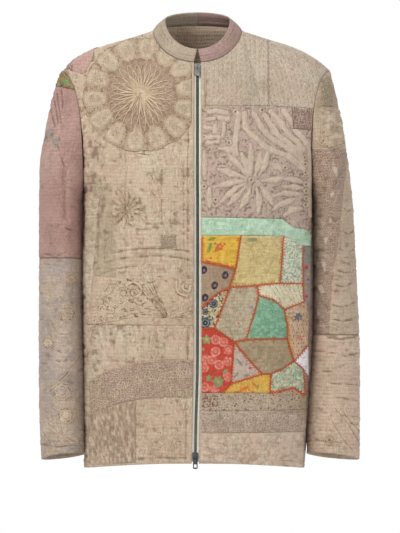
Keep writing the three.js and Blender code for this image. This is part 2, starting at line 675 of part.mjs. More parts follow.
patch(
  'sleeve_print_patch', shells.sleeveRight,
  [[-232, -60], [-214, -92], [-205, -110], [-222, -109], [-250, -103], [-250, -60]], 0x6f7440,
);
patch(
  'green_lace_patch', shells.sleeveLeft,
  [[217, -80], [226, -79], [231, -100], [231, -131], [208, -131], [210, -105]], 0x5f5a44,
);
patch(
  'bird_patch', shells.sleeveLeft,
  [[208, -131], [231, -131], [246, -132], [250, -150], [250, -190], [206, -190]], 0xb09c84,
);

export default jacket;
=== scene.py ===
# A patched, quilted zip jacket in the shape it has when worn, with no wearer.
# Shapes are worked out in millimetres, and a mesh is scaled to metres when it is made.
import math

import bpy
import numpy as np
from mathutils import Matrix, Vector, geometry
from mathutils.bvhtree import BVHTree


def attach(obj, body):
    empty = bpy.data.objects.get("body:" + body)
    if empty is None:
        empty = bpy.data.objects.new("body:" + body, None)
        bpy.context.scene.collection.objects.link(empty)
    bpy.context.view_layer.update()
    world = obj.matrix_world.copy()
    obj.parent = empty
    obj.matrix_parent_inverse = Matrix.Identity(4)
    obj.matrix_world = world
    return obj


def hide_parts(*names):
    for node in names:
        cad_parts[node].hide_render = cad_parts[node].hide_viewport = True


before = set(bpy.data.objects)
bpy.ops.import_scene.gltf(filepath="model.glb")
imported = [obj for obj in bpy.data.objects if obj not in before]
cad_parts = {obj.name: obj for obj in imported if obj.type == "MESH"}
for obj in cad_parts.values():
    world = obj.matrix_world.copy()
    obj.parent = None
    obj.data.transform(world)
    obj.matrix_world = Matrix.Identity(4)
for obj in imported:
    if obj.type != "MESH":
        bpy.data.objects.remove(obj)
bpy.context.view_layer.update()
mm = 0.001
sides = {"right": -1, "left": 1}
print("frame loaded")


# Camera

camera = {"x": 4.25, "height": -402, "distance": 6000, "depth": 65, "seen": 899, "sensor": 36}


def makeCamera(look):
    data = bpy.data.cameras.new("camera")
    data.sensor_width = look["sensor"]
    data.lens = look["sensor"] * (look["distance"] - look["depth"]) / look["seen"]
    made = bpy.data.objects.new("camera", data)
    made.location = (look["x"] * mm, -look["distance"] * mm, look["height"] * mm)
    made.rotation_euler = (math.pi / 2, 0, 0)
    bpy.context.scene.collection.objects.link(made)
    bpy.context.scene.camera = made


makeCamera(camera)


# Reading sizes

def smooth(t):
    t = np.clip(t, 0, 1)
    return t * t * (3 - 2 * t)


def mix(a, b, t):
    return a + (b - a) * t


def stack(*parts):
    return np.stack(np.broadcast_arrays(*parts), axis=-1).astype(float)


def along(stops, place):
    # smooth reading of a table of (place, value) stops
    at, value = np.array(stops, float).T
    last = len(at) - 1
    place = np.clip(place, at[0], at[-1])
    k = np.clip(np.searchsorted(at, place) - 1, 0, last - 1)
    low = np.maximum(np.arange(last + 1) - 1, 0)
    high = np.minimum(np.arange(last + 1) + 1, last)
    slope = (value[high] - value[low]) / (at[high] - at[low])
    span = at[k + 1] - at[k]
    t = (place - at[k]) / span
    bend = t * (1 - t) * span * ((1 - t) * slope[k] - t * slope[k + 1])
    return value[k] + (value[k + 1] - value[k]) * smooth(t) + bend


# The jacket's cut, the same as the solids'

body = {
    "cloth": 2.2,
    "armpitZ": -275,
    "hemZ": -744,
    "hemRise": 13,  # how much higher the hem is at the zip than at the sides
    "halfDepth": 130,
    "ringPower": 2 / 2.4,  # roundness of the body ring, 1 being an ellipse
    "zipHalfGap": 5.9,
    "neckShare": 0.42,  # share of a panel's width that ends on the neckline
    "neckHalfWidth": 76,
    "neckY": 20,
    "neckZ": 2,
    "neckCurve": {-1: (-82, -58, 1.2), 1: (58, 12, 1)},  # forward, up and how sharply, for front and back
    "shoulderY": 4,
    "shoulderRise": [(0.22, -9), (0.62, -29), (0.86, -49)],
    "backFolds": {"depth": 4, "count": 6, "over": 400},
    "halfWidth": {
        "right": [(-744, 189), (-600, 195), (-450, 197), (-275, 195)],
        "left": [(-744, 186), (-600, 195), (-450, 198), (-275, 196)],
    },
    "zipDrift": [(-744, -4), (-660, -2.5), (-560, 0), (0, 0)],
    "shoulder": {"right": (231, -68), "left": (226, -67)},
    "topHandleX": [(0, 0), (0.42, 4), (0.7, 0), (1, -44)],
    "topHandleY": [(0, 40), (0.42, 74), (0.7, 86), (1, 98)],
    "topHandleZ": [(0, -72), (0.42, -32), (0.7, -22), (1, -24)],
    "ringHandle": {"x": -2, "y": 72, "z": 20, "up": 78},
}


def neckPoint(face, turn):
    forward = np.clip(np.cos(turn), 0, 1)
    inner = body["zipHalfGap"] if face < 0 else 0
    x = inner + (body["neckHalfWidth"] - inner) * np.sin(turn)
    out, up, bend = body["neckCurve"][face]
    return stack(x, body["neckY"] + out * forward, body["neckZ"] + up * forward ** bend)


def topPoint(side, face, s):
    neck = neckPoint(face, np.minimum(s / body["neckShare"], 1) * math.pi / 2)
    share = np.clip((s - body["neckShare"]) / (1 - body["neckShare"]), 0, 1)
    endX, endZ = body["shoulder"][side]
    rise = along([(0, body["neckZ"]), *body["shoulderRise"], (1, endZ)], share)
    seam = stack(mix(body["neckHalfWidth"], endX, share), mix(body["neckY"], body["shoulderY"], share),
                 rise)
    return np.where((s <= body["neckShare"])[..., None], neck, seam)


def ringPoint(side, face, s, z):
    # horizontal ring of the body at a height; s runs from the middle (0) to the side (1)
    angle = s * math.pi / 2
    inner = body["zipHalfGap"] if face < 0 else 0
    reach = along(body["halfWidth"][side], z) - inner
    ahead = np.clip(np.cos(angle), 0, 1)
    fold, folds = 0, body["backFolds"]
    if face > 0:
        fold = folds["depth"] * np.sin(folds["count"] * angle) ** 2 * ahead
        fold = fold * smooth((body["armpitZ"] - z) / folds["over"])
    x = inner + reach * np.sin(angle) ** body["ringPower"]
    return stack(x, face * (body["halfDepth"] - fold) * ahead ** body["ringPower"], z)


def bodyPoint(side, face, s, r):
    # r is 0 at the top edge, 1 at the armpit ring and 2 at the hem
    sign = sides[side]
    s, r = np.broadcast_arrays(np.asarray(s, float), np.asarray(r, float))
    rise = 1 - smooth(s * 0.95) if face < 0 else 0.15 * (1 - s)
    z = mix(body["armpitZ"], body["hemZ"] + body["hemRise"] * rise, np.maximum(r - 1, 0))
    low = ringPoint(side, face, s, z) * (sign, 1, 1)
    low[..., 0] += along(body["zipDrift"], z)
    top = topPoint(side, face, s)
    base = ringPoint(side, face, s, np.full(s.shape, float(body["armpitZ"])))
    pull = s ** 4
    handle = body["ringHandle"]
    near = top + stack(
        along(body["topHandleX"], s), face * along(body["topHandleY"], s), along(body["topHandleZ"], s)
    )
    far = base + stack(handle["x"] * pull, face * handle["y"] * pull,
                       mix(handle["up"], handle["z"], pull))
    t = np.clip(r, 0, 1)[..., None]
    high = (1 - t) ** 3 * top + 3 * (1 - t) ** 2 * t * near + 3 * (1 - t) * t ** 2 * far + t ** 3 * base
    return np.where((r >= 1)[..., None], low, high * (sign, 1, 1))


sleeve = {
    "cloth": 2.0,
    "lean": {  # how far the inner side lies over to the body
        "right": [(-740, 9), (-600, 9), (-400, 10), (-300, 10.5), (-262, 8), (-225, 0), (-60, 0)],
        "left": [(-740, 9), (-640, 8.5), (-560, 12), (-330, 12.5), (-262, 10), (-225, 0), (-60, 0)],
    },
    "outer": {
        "right": [(-730, 265), (-640, 269), (-400, 270), (-235, 269), (-194, 264), (-133, 252), (-92, 241),
                  (-68, 231)],
        "left": [(-730, 275), (-561, 276), (-459, 273), (-357, 268), (-275, 263), (-194, 252), (-112, 237),
                 (-67, 226)],
    },
    "inner": {
        "right": [(-730, 197), (-450, 203), (-330, 203), (-275, 201), (-180, 196), (-68, 190)],
        "left": [(-730, 194), (-640, 195), (-540, 206), (-330, 207), (-275, 205), (-180, 198), (-68, 190)],
    },
    "halfDepth": [(-730, 47), (-600, 54), (-450, 62), (-330, 69), (-200, 72), (-68, 60)],
    "y": [(-730, -24), (-560, -14), (-400, -4), (-250, 0), (-68, 2)],
    "seamZ": {"right": -388, "left": -517},
    "cuffZ": -724,
    "cuffSlope": 5,
    "cuffTilt": 6,
    "fold": {"depth": 2.5, "count": 4, "from": -230, "over": 60},
    "crease": {"depth": 2.2, "gap": 19, "from": -300, "over": 80},
    "headFade": (140, 34),  # how far down the armhole's shape is felt, outside and under the arm
}


def sleevePoint(side, turn, u):
    # turn is 0 outside, a quarter in front and a half under the arm; u is 0, 1 and 2 at hole, seam and cuff
    sign = sides[side]
    turn, u = np.broadcast_arrays(np.asarray(turn, float) % 1, np.asarray(u, float))
    half = np.where(turn <= 0.5, turn * 2, (1 - turn) * 2)
    one = np.ones(turn.shape)
    hole = np.where((turn <= 0.5)[..., None], bodyPoint(side, -1, one, half),
                    bodyPoint(side, 1, one, half))
    angle = turn * 2 * math.pi
    seam = sleeve["seamZ"][side]
    end = sleeve["cuffZ"] - sleeve["cuffSlope"] * np.cos(angle) + sleeve["cuffTilt"] * np.sin(angle)
    z = np.where(u <= 1, mix(hole[..., 2], seam, u), mix(seam, end, u - 1))

    def oval(height):
        outer = along(sleeve["outer"][side], height)
        inner = along(sleeve["inner"][side], height)
        look = sleeve["fold"]
        fold = look["depth"] * np.sin(look["count"] * angle)
        fold = fold * smooth((look["from"] - height) / look["over"])
        look = sleeve["crease"]
        crease = look["depth"] * np.sin(height / look["gap"]) * np.sin(angle) ** 2
        crease = crease * smooth((look["from"] - height) / look["over"])
        depth = along(sleeve["halfDepth"], height) + fold + crease
        inner = inner - along(sleeve["lean"][side], height)
        x = (outer + inner) / 2 + (outer - inner) / 2 * np.cos(angle)
        return x, along(sleeve["y"], height) - depth * np.sin(angle)

    x, y = oval(z)
    startX, startY = oval(hole[..., 2])
    fade = 1 - smooth((hole[..., 2] - z) / mix(*sleeve["headFade"], smooth(half)))
    return stack(sign * (x + (sign * hole[..., 0] - startX) * fade), y + (hole[..., 1] - startY) * fade,
                 z)


collar = {
    "cloth": 2.4, "high": 24, "long": 190, "split": 1.0, "bulge": 2.5,
    "wide": 56, "middleY": 16, "frontY": 70, "backY": 46,  # the top edge's oval
    "middleZ": 21, "frontZ": 55, "backZ": 15, "sharp": 1.15,  # and how it dips
    "rows": (3.5, 9, 15), "dotRows": (6.4, 12.3, 18.5), "dotGap": 9.5,
}


def collarPoint(side, turn, up):
    # turn runs from the zip (0) to the middle of the back (1)
    turn, up = np.broadcast_arrays(np.asarray(turn, float), np.asarray(up, float))
    angle = turn * math.pi
    forward = np.cos(angle)
    ahead = turn <= 0.5
    low = np.where(ahead[..., None], neckPoint(-1, np.minimum(angle, math.pi / 2)),
                   neckPoint(1, math.pi - np.maximum(angle, math.pi / 2)))
    front = np.clip(forward, 0, 1)
    high = stack(
        collar["split"] * smooth(front) + collar["wide"] * np.sin(angle),
        collar["middleY"] - np.where(ahead, collar["frontY"], collar["backY"]) * forward,
        collar["middleZ"] - np.where(ahead, collar["frontZ"] * front ** collar["sharp"],
                                     collar["backZ"] * forward),
    )
    t = up[..., None]
    bulge = collar["bulge"] * np.sin(math.pi * t[..., 0])
    point = mix(low, high, t) + stack(bulge * np.sin(angle), -bulge * forward, 0)
    return point * (sides[side], 1, 1)


def zipPlace(r):
    # middle of the zip, in line with the fronts' outer faces
    r = np.asarray(r, float)
    right, left = bodyPoint("right", -1, 0 * r, r), bodyPoint("left", -1, 0 * r, r)
    return (right + left) / 2


# Marks on cloth: distances in millimetres, above nought inside the mark

def wobble(u, v, size, seed):
    # smooth noise from -1 to 1 with features about size long
    table = np.random.RandomState(seed).uniform(-1, 1, (64, 64))
    a, b = np.asarray(u) / size, np.asarray(v) / size
    i, j = np.floor(a).astype(int), np.floor(b).astype(int)
    s, t = smooth(a - i), smooth(b - j)

    def pick(m, n):
        return table[(i + m) % 64, (j + n) % 64]

    return mix(mix(pick(0, 0), pick(1, 0), s), mix(pick(0, 1), pick(1, 1), s), t)


def spot(x, z, at, size, squeeze=1.0, tilt=0.0):
    a, b = x - at[0], z - at[1]
    u = a * math.cos(tilt) + b * math.sin(tilt)
    v = b * math.cos(tilt) - a * math.sin(tilt)
    return size - np.hypot(u, v / squeeze)


def ring(x, z, at, size, width):
    return width - np.abs(np.hypot(x - at[0], z - at[1]) - size)


def blossom(x, z, at, size, petals, depth, turn=0.0):
    angle = np.arctan2(z - at[1], x - at[0])
    edge = 1 - depth + depth * np.cos(petals * (angle - turn))
    return size * edge - np.hypot(x - at[0], z - at[1])


def stroke(x, z, points, width):
    # a line of that half width through the points, or one that widens when width is a pair
    start, end = width if isinstance(width, tuple) else (width, width)
    best = np.full(np.shape(x), -1e3)
    count = len(points) - 1
    for k in range(count):
        (ax, az), (bx, bz) = points[k], points[k + 1]
        dx, dz = bx - ax, bz - az
        t = np.clip(((x - ax) * dx + (z - az) * dz) / (dx * dx + dz * dz + 1e-9), 0, 1)
        w = mix(start, end, (k + t) / count)
        best = np.maximum(best, w - np.hypot(x - ax - t * dx, z - az - t * dz))
    return best


def curve(points):
    # a smooth line through a few points
    steps = 6
    p = np.array([points[0], *points, points[-1]], float)
    line = []
    for k in range(1, len(p) - 2):
        for t in np.arange(steps) / steps:
            a, b, c, d = p[k - 1: k + 3]
            line.append(0.5 * (2 * b + (c - a) * t + (2 * a - 5 * b + 4 * c - d) * t * t
                               + (3 * b - a - 3 * c + d) * t ** 3))
    line.append(p[-2])
    return [tuple(q) for q in line]


def arc(at, size, start=0.0, end=360.0, steps=24, squeeze=1.0):
    angles = np.radians(np.linspace(start, end, steps + 1))
    return [(at[0] + size * math.cos(a), at[1] + size * squeeze * math.sin(a)) for a in angles]


def spiral(at, size, turns):
    shares = np.linspace(0.12, 1, int(16 * turns) + 1)
    return [(at[0] + size * t * math.cos(2 * math.pi * turns * t),
             at[1] + size * t * math.sin(2 * math.pi * turns * t)) for t in shares]


def insideOf(outline, x, z):
    inside = np.zeros(np.shape(x), bool)
    for (ax, az), (bx, bz) in zip(outline, outline[1:] + outline[:1]):
        if az != bz:
            inside ^= ((az > z) != (bz > z)) & (x < (bx - ax) * (z - az) / (bz - az) + ax)
    return inside


def scatter(outline, gap, seed):
    # places about gap apart inside an outline
    pick = np.random.RandomState(seed)
    low, high = np.min(outline, axis=0), np.max(outline, axis=0)
    across, down = np.meshgrid(np.arange(low[0], high[0], gap), np.arange(low[1], high[1], gap))
    across = across + gap / 2 * (np.arange(len(across)) % 2)[:, None]
    shift = pick.uniform(-0.32, 0.32, (2, *across.shape)) * gap
    x, z = (across + shift[0]).ravel(), (down + shift[1]).ravel()
    keep = insideOf(outline, x, z)
    return list(zip(x[keep], z[keep]))


def joined(marks):
    return np.maximum.reduce(marks)


def awayFrom(x, z, points):
    # distance from a line
    return -stroke(x, z, points, 0.0)


def blank(x):
    # a mark that is nowhere
    return np.full(np.shape(x), -9.0)


def swell(distance, at, width):
    return np.exp(-((distance - at) / width) ** 2)


def raised(distance, soft):
    # 0 outside a mark and 1 where it is at least soft inside
    return smooth(distance / soft)


print("cut and marks ready")


# Node groups: each puts out masks and heights that vary over the cloth

def fill(tree, made, inputs):
    # link each socket, or set it to a constant
    for key, value in inputs.items():
        if isinstance(value, bpy.types.NodeSocket):
            tree.links.new(value, made.inputs[key])
        else:
            made.inputs[key].default_value = value
    return made


def node(tree, kind, inputs=None, **settings):
    made = tree.nodes.new("ShaderNode" + kind)
    for key, value in settings.items():
        setattr(made, key, value)
    return fill(tree, made, inputs or {})


def maths(tree, operation, a, b=0.0):
    return node(tree, "Math", {0: a, 1: b}, operation=operation).outputs[0]


def times(tree, a, b):
    return maths(tree, "MULTIPLY", a, b)


def plus(tree, a, b):
    return maths(tree, "ADD", a, b)


def minus(tree, a, b):
    return maths(tree, "SUBTRACT", a, b)


def ratio(tree, a, b):
    return maths(tree, "DIVIDE", a, b)


def noise(tree, where, scale, detail=2, **more):
    inputs = {"Vector": where, "Scale": scale, "Detail": detail, **more}
    return node(tree, "TexNoise", inputs).outputs["Fac"]


def reach(tree, value, low, high, start=0.0, end=1.0):
    inputs = {"Value": value, "From Min": low, "From Max": high, "To Min": start, "To Max": end}
    return node(tree, "MapRange", inputs, interpolation_type="SMOOTHSTEP").outputs["Result"]


def blend(tree, factor, a, b):
    return node(tree, "Mix", {0: factor, 6: a, 7: b}, data_type="RGBA").outputs[2]


def newGroup(name, inputs, outputs):
    group = bpy.data.node_groups.new(name, "ShaderNodeTree")
    for label, value in inputs.items():
        group.interface.new_socket(label, in_out="INPUT",
                                   socket_type="NodeSocketFloat").default_value = value
    for label in outputs:
        group.interface.new_socket(label, in_out="OUTPUT", socket_type="NodeSocketFloat")
    return group, group.nodes.new("NodeGroupInput").outputs, group.nodes.new("NodeGroupOutput").inputs


def clothPlace(tree):
    # across and down the cloth, in metres
    place = node(tree, "UVMap", uv_map="clothMap").outputs["UV"]
    return place, node(tree, "SeparateXYZ", {0: place}).outputs


def weaveGroup():
    group, given, out = newGroup("weave", {"Threads": 900, "Slub": 0.5}, ["Shade", "Height"])
    place, axes = clothPlace(group)
    uneven = noise(group, place, 160, 2)
    waves = []
    for axis in axes[:2]:
        turns = times(group, axis, given["Threads"])
        turns = plus(group, turns, times(group, uneven, 5))
        waves.append(maths(group, "SINE", turns))
    over = times(group, *waves)
    group.links.new(plus(group, times(group, over, 0.5), 0.5), out["Height"])
    across = node(group, "Mapping", {"Vector": place, "Scale": (0.25, 3, 1)}).outputs["Vector"]
    down = node(group, "Mapping", {"Vector": place, "Scale": (3, 0.25, 1)}).outputs["Vector"]
    slubs = [noise(group, way, 240, 3) for way in (across, down)]
    streak = plus(group, slubs[0], minus(group, slubs[1], 1.0))
    shade = plus(group, times(group, streak, given["Slub"]), 0.5)
    group.links.new(shade, out["Shade"])
    return group


def runningStitchGroup():
    # rows of small running stitches, and the cloth puckering between them
    inputs = {"Row Gap": 0.006, "Stitch Length": 0.0045, "Wander": 0.001, "Upright": 0.0}
    group, given, out = newGroup("runningStitch", inputs, ["Stitch", "Pucker"])
    place, axes = clothPlace(group)
    turned = times(group, minus(group, axes[0], axes[1]), given["Upright"])
    axes = minus(group, axes[0], turned), plus(group, axes[1], turned)
    drift = noise(group, place, 22, 2)
    drift = times(group, minus(group, drift, 0.5), given["Wander"])
    rows = ratio(group, axes[1], given["Row Gap"])
    rows = plus(group, rows, ratio(group, times(group, drift, 6), given["Row Gap"]))
    rowNumber = maths(group, "FLOOR", rows)
    inRow = maths(group, "ABSOLUTE", minus(group, maths(group, "FRACT", rows), 0.5))
    stagger = maths(group, "FRACT", times(group, maths(group, "SINE", rowNumber), 43.7))
    steps = plus(group, ratio(group, axes[0], given["Stitch Length"]), stagger)
    inStep = maths(group, "ABSOLUTE", minus(group, maths(group, "FRACT", steps), 0.5))
    line = reach(group, inRow, 0.1, 0.2, 1, 0)
    dash = reach(group, inStep, 0.2, 0.3, 1, 0)
    group.links.new(times(group, line, dash), out["Stitch"])
    puffed = times(group, inRow, 1.6)
    dimple = times(group, times(group, line, dash), 0.5)
    group.links.new(minus(group, puffed, dimple), out["Pucker"])
    return group


def ageingGroup():
    # washed-out areas, tea-brown stains and small specks of dirt
    group, given, out = newGroup("ageing", {"Size": 6, "Specks": 0.3},
                                 ["Fade", "Stain", "Speck", "Blush"])
    place = node(group, "TexCoord").outputs["Object"]
    cloudy = noise(group, place, given["Size"], 4)
    group.links.new(reach(group, cloudy, 0.35, 0.68), out["Fade"])
    shifted = node(group, "Mapping", {"Vector": place, "Location": (3.1, 1.7, 5.3)}).outputs["Vector"]
    blotch = noise(group, shifted, times(group, given["Size"], 2.6), 6, Roughness=0.62)
    group.links.new(reach(group, blotch, 0.52, 0.74), out["Stain"])
    moved = node(group, "Mapping", {"Vector": place, "Location": (7.3, 2.9, 1.1)}).outputs["Vector"]
    warm = noise(group, moved, times(group, given["Size"], 3.4), 3, Roughness=0.6)
    group.links.new(reach(group, warm, 0.4, 0.6), out["Blush"])
    fine = noise(group, place, 420, 3)
    group.links.new(times(group, reach(group, fine, 0.58, 0.74), given["Specks"]), out["Speck"])
    return group


def nettingGroup():
    # knotted lace or crochet: cords round small open cells
    inputs = {"Cell Size": 0.0045, "Cord": 0.35}
    group, given, out = newGroup("netting", inputs, ["Cord", "Height"])
    place = clothPlace(group)[0]
    scale = ratio(group, 1.0, given["Cell Size"])
    warp = node(group, "TexNoise", {"Vector": place, "Scale": 60, "Detail": 2}).outputs["Color"]
    warp = node(group, "VectorMath", {0: warp, "Scale": 0.012}, operation="SCALE").outputs["Vector"]
    bent = node(group, "VectorMath", {0: place, 1: warp}, operation="ADD").outputs["Vector"]
    cells = node(group, "TexVoronoi", {"Vector": bent, "Scale": scale, "Randomness": 0.8},
                 feature="DISTANCE_TO_EDGE", voronoi_dimensions="2D").outputs["Distance"]
    cord = reach(group, ratio(group, cells, given["Cord"]), 0.25, 0.9, 1, 0)
    group.links.new(cord, out["Cord"])
    twist = noise(group, place, 900, 1)
    group.links.new(times(group, cord, plus(group, twist, 0.4)), out["Height"])
    return group


def crinkleGroup():
    # hairline wrinkles of washed cotton: a mask of thin folds that is darkened as painted shade, and the
    # height they leave
    group, given, out = newGroup("crinkle", {"Size": 0.01, "Upright": 1.0}, ["Fold", "Height"])
    axes = clothPlace(group)[1]
    stretched = {"X": times(group, axes[0], given["Upright"]),
                 "Y": ratio(group, axes[1], given["Upright"])}
    lean = node(group, "CombineXYZ", stretched).outputs["Vector"]
    scale = ratio(group, 1.0, given["Size"])
    lines = []
    for share in (1.0, 2.3):
        cloud = noise(group, lean, times(group, scale, share), Distortion=0.8)
        away = maths(group, "ABSOLUTE", minus(group, cloud, 0.5))
        lines.append(reach(group, away, 0.0, 0.045, 1, 0))
    patchy = noise(group, lean, times(group, scale, 0.25))
    both = maths(group, "MAXIMUM", lines[0], times(group, lines[1], 0.7))
    group.links.new(times(group, both, reach(group, patchy, 0.36, 0.62, 0.15, 1)), out["Fold"])
    group.links.new(minus(group, 1.0, both), out["Height"])
    return group


def inkGroup():
    # a mark from its distance in millimetres, with the ragged edge of a worn print or of hand stitching
    group, given, out = newGroup("inkEdge", {"Distance": -5, "Ragged": 0.8, "Soft": 0.5}, ["Mask"])
    place = node(group, "TexCoord").outputs["Object"]
    rough = noise(group, place, 380, 3)
    shift = times(group, minus(group, rough, 0.5), given["Ragged"])
    at = plus(group, given["Distance"], times(group, shift, 2))
    mask = reach(group, ratio(group, at, given["Soft"]), -1, 1)
    group.links.new(mask, out["Mask"])
    return group


groups = {
    "weave": weaveGroup(),
    "stitch": runningStitchGroup(),
    "ageing": ageingGroup(),
    "netting": nettingGroup(),
    "crinkle": crinkleGroup(),
    "ink": inkGroup(),
}


def place(tree, name, inputs):
    made = tree.nodes.new("ShaderNodeGroup")
    made.node_tree = groups[name]
    made.label = name
    return fill(tree, made, inputs).outputs


def tint(red, green, blue):
    # a colour as a paint chart gives it, 0 to 255
    linear = [c / 12.92 if c <= 0.04045 else ((c + 0.055) / 1.055) ** 2.4 for c in
              (red / 255, green / 255, blue / 255)]
    return (*linear, 1.0)


def newMaterial(name):
    material = bpy.data.materials.new(name)
    material.use_nodes = True
    return material, material.node_tree, material.node_tree.nodes["Principled BSDF"]


plainLook = {
    "color": (196, 176, 149),
    "faded": (214, 197, 172),
    "stain": (160, 134, 104),
    "staining": 0.35,
    "groove": (134, 112, 90),  # painted shade in the troughs between ridges and in the hairline wrinkles
    "grooveShading": 0.75,
    # painted highlight on the ridges' tops
    "crest": (226, 211, 188),
    "crested": 0.45,
    "thread": (112, 92, 74),
    "threads": 1500,
    "slub": 0.7,
    "rowGap": 0.0062,
    "stitchLength": 0.0048,
    "stitched": 0.5,
    "pucker": 0.45,
    "blush": (206, 174, 156),
    "blushed": 0.0,
    "stitchUpright": 0.0,
    "net": 0.0,  # share of open lace
    "netInk": 0,  # the mark that holds the lace, or 0 for all of the cloth
    "netSize": 0.0045,
    "netHole": (140, 118, 98),
    "speck": (104, 84, 68),
    "specks": 0.3,
    "inks": [],  # colours of the printed or sewn marks, in order
    "ragged": 0.8,
    # how strongly painted shade darkens the hairline wrinkles
    "crinkled": 0.45,
    "crinkleSize": 0.011,
    "upright": 1.3,
    "bump": 0.8,
}


def bumped(tree, height, strength, distance):
    return node(tree, "Bump", {"Strength": strength, "Distance": distance,
                               "Height": height}).outputs["Normal"]


def clothMaterial(name, **changes):
    look = {key: tint(*value) if isinstance(value, tuple) else value
            for key, value in {**plainLook, **changes}.items()}
    material, tree, shader = newMaterial(name)
    weave = place(tree, "weave", {"Threads": look["threads"], "Slub": look["slub"]})
    age = place(tree, "ageing", {"Size": 7, "Specks": look["specks"]})
    color = blend(tree, age["Fade"], look["color"], look["faded"])
    color = blend(tree, times(tree, age["Blush"], look["blushed"]), color, look["blush"])
    color = blend(tree, times(tree, age["Stain"], look["staining"]), color, look["stain"])
    masks = [1.0]
    for k, ink in enumerate(look["inks"]):
        distance = node(tree, "Attribute", attribute_name=f"ink{k + 1}").outputs["Fac"]
        masks.append(place(tree, "ink", {"Distance": distance, "Ragged": look["ragged"]})["Mask"])
        color = blend(tree, masks[-1], color, tint(*ink))
    height = times(tree, weave["Height"], 0.3)
    if look["net"]:
        net = place(tree, "netting", {"Cell Size": look["netSize"]})
        hole = times(tree, minus(tree, 1.0, net["Cord"]), look["net"])
        hole = times(tree, hole, masks[look["netInk"]])
        color = blend(tree, hole, color, look["netHole"])
        height = plus(tree, height, times(tree, net["Height"], 1.4))
    if look["stitched"]:
        sewn = place(tree, "stitch", {
            "Row Gap": look["rowGap"], "Stitch Length": look["stitchLength"],
            "Upright": look["stitchUpright"],
        })
        color = blend(tree, times(tree, sewn["Stitch"], look["stitched"]), color, look["thread"])
        height = plus(tree, height, times(tree, sewn["Pucker"], look["pucker"]))
    wrinkle = place(tree, "crinkle", {"Size": look["crinkleSize"], "Upright": look["upright"]})
    # painted shade: the hairline wrinkles darkened to the trough colour
    color = blend(tree, times(tree, wrinkle["Fold"], look["crinkled"]), color, look["groove"])
    height = plus(tree, height, times(tree, wrinkle["Height"], 0.7))
    # painted shade in the relief's troughs and a painted highlight on its crests
    relief = node(tree, "Attribute", attribute_name="relief").outputs["Fac"]
    troughShade = times(tree, reach(tree, relief, -0.1, -1.0), look["grooveShading"])
    crest = times(tree, reach(tree, relief, 0.3, 1.6), look["crested"])
    color = blend(tree, troughShade, color, look["groove"])
    color = blend(tree, crest, color, look["crest"])
    color = blend(tree, age["Speck"], color, look["speck"])
    shade = reach(tree, weave["Shade"], 0.25, 0.75, 0.86, 1.1)
    shaded = node(tree, "HueSaturation", {"Color": color, "Value": shade}).outputs["Color"]
    fill(tree, shader, {
        "Base Color": shaded, "Roughness": reach(tree, weave["Shade"], 0.2, 0.8, 0.95, 0.82),
        "Specular IOR Level": 0.25, "Sheen Weight": 0.12, "Sheen Roughness": 0.6,
        "Normal": bumped(tree, height, look["bump"], 0.0009),
    })
    return material


def threadMaterial(name, color, shadow):
    # twisted yarn, darker where it is soiled
    material, tree, shader = newMaterial(name)
    where = node(tree, "TexCoord").outputs["Object"]
    age = place(tree, "ageing", {"Size": 9, "Specks": 0.5})
    strand = noise(tree, where, 700, 2)
    color, shadow = tint(*color), tint(*shadow)
    mixed = blend(tree, reach(tree, strand, 0.35, 0.7), shadow, color)
    mixed = blend(tree, times(tree, age["Stain"], 0.5), mixed, shadow)
    fill(tree, shader, {
        "Base Color": mixed, "Roughness": reach(tree, strand, 0.3, 0.7, 0.95, 0.8),
        "Specular IOR Level": 0.2, "Normal": bumped(tree, strand, 0.5, 0.0004),
    })
    return material


def metalMaterial(name, color, worn, roughness):
    material, tree, shader = newMaterial(name)
    where = node(tree, "TexCoord").outputs["Object"]
    rub = noise(tree, where, 240, 5, Roughness=0.7)
    fill(tree, shader, {
        "Base Color": blend(tree, reach(tree, rub, 0.45, 0.7), tint(*color), tint(*worn)),
        "Roughness": reach(tree, rub, 0.3, 0.8, roughness, roughness + 0.25),
        "Normal": bumped(tree, rub, 0.25, 0.0002), "Metallic": 1.0,
    })
    return material


print("materials ready")


# Meshes

def everyFew(count):
    # every fifth row or column and the last
    return np.array([*range(0, count - 1, 5), count - 1])


def stripQuads(ids):
    a, b, c, d = ids[:-1, :-1], ids[1:, :-1], ids[1:, 1:], ids[:-1, 1:]
    return np.stack([a, b, c, d], axis=-1).reshape(-1, 4).tolist()


def unit(vectors):
    return vectors / (np.linalg.norm(vectors, axis=-1, keepdims=True) + 1e-12)


def pathLengths(points):
    # length from the start of a path to each of its points
    return np.append(0, np.cumsum(np.linalg.norm(np.diff(points, axis=0), axis=1)))


def waysOut(points, outward):
    # unit normals of a grid of points, on the side that outward points to
    down, across = np.gradient(points, axis=0), np.gradient(points, axis=1)
    ways = unit(np.cross(across, down))
    return ways * (1 if np.sum(ways * outward) > 0 else -1)


def makeObject(name, points, faces, material, uv=None, marks=None):
    mesh = bpy.data.meshes.new(name)
    mesh.from_pydata((np.asarray(points) * mm).tolist(), [], faces)
    mesh.shade_smooth()
    corner = np.zeros(len(mesh.loops), int)
    mesh.loops.foreach_get("vertex_index", corner)
    if uv is not None:
        mesh.uv_layers.new(name="clothMap").data.foreach_set("uv", (np.asarray(uv)[corner] * mm).ravel())
    for key, values in (marks or {}).items():
        mesh.attributes.new(key, "FLOAT", "POINT").data.foreach_set("value",
                                                                    np.asarray(values, np.float32))
    mesh.materials.append(material)
    made = bpy.data.objects.new(name, mesh)
    bpy.context.scene.collection.objects.link(made)
    return made


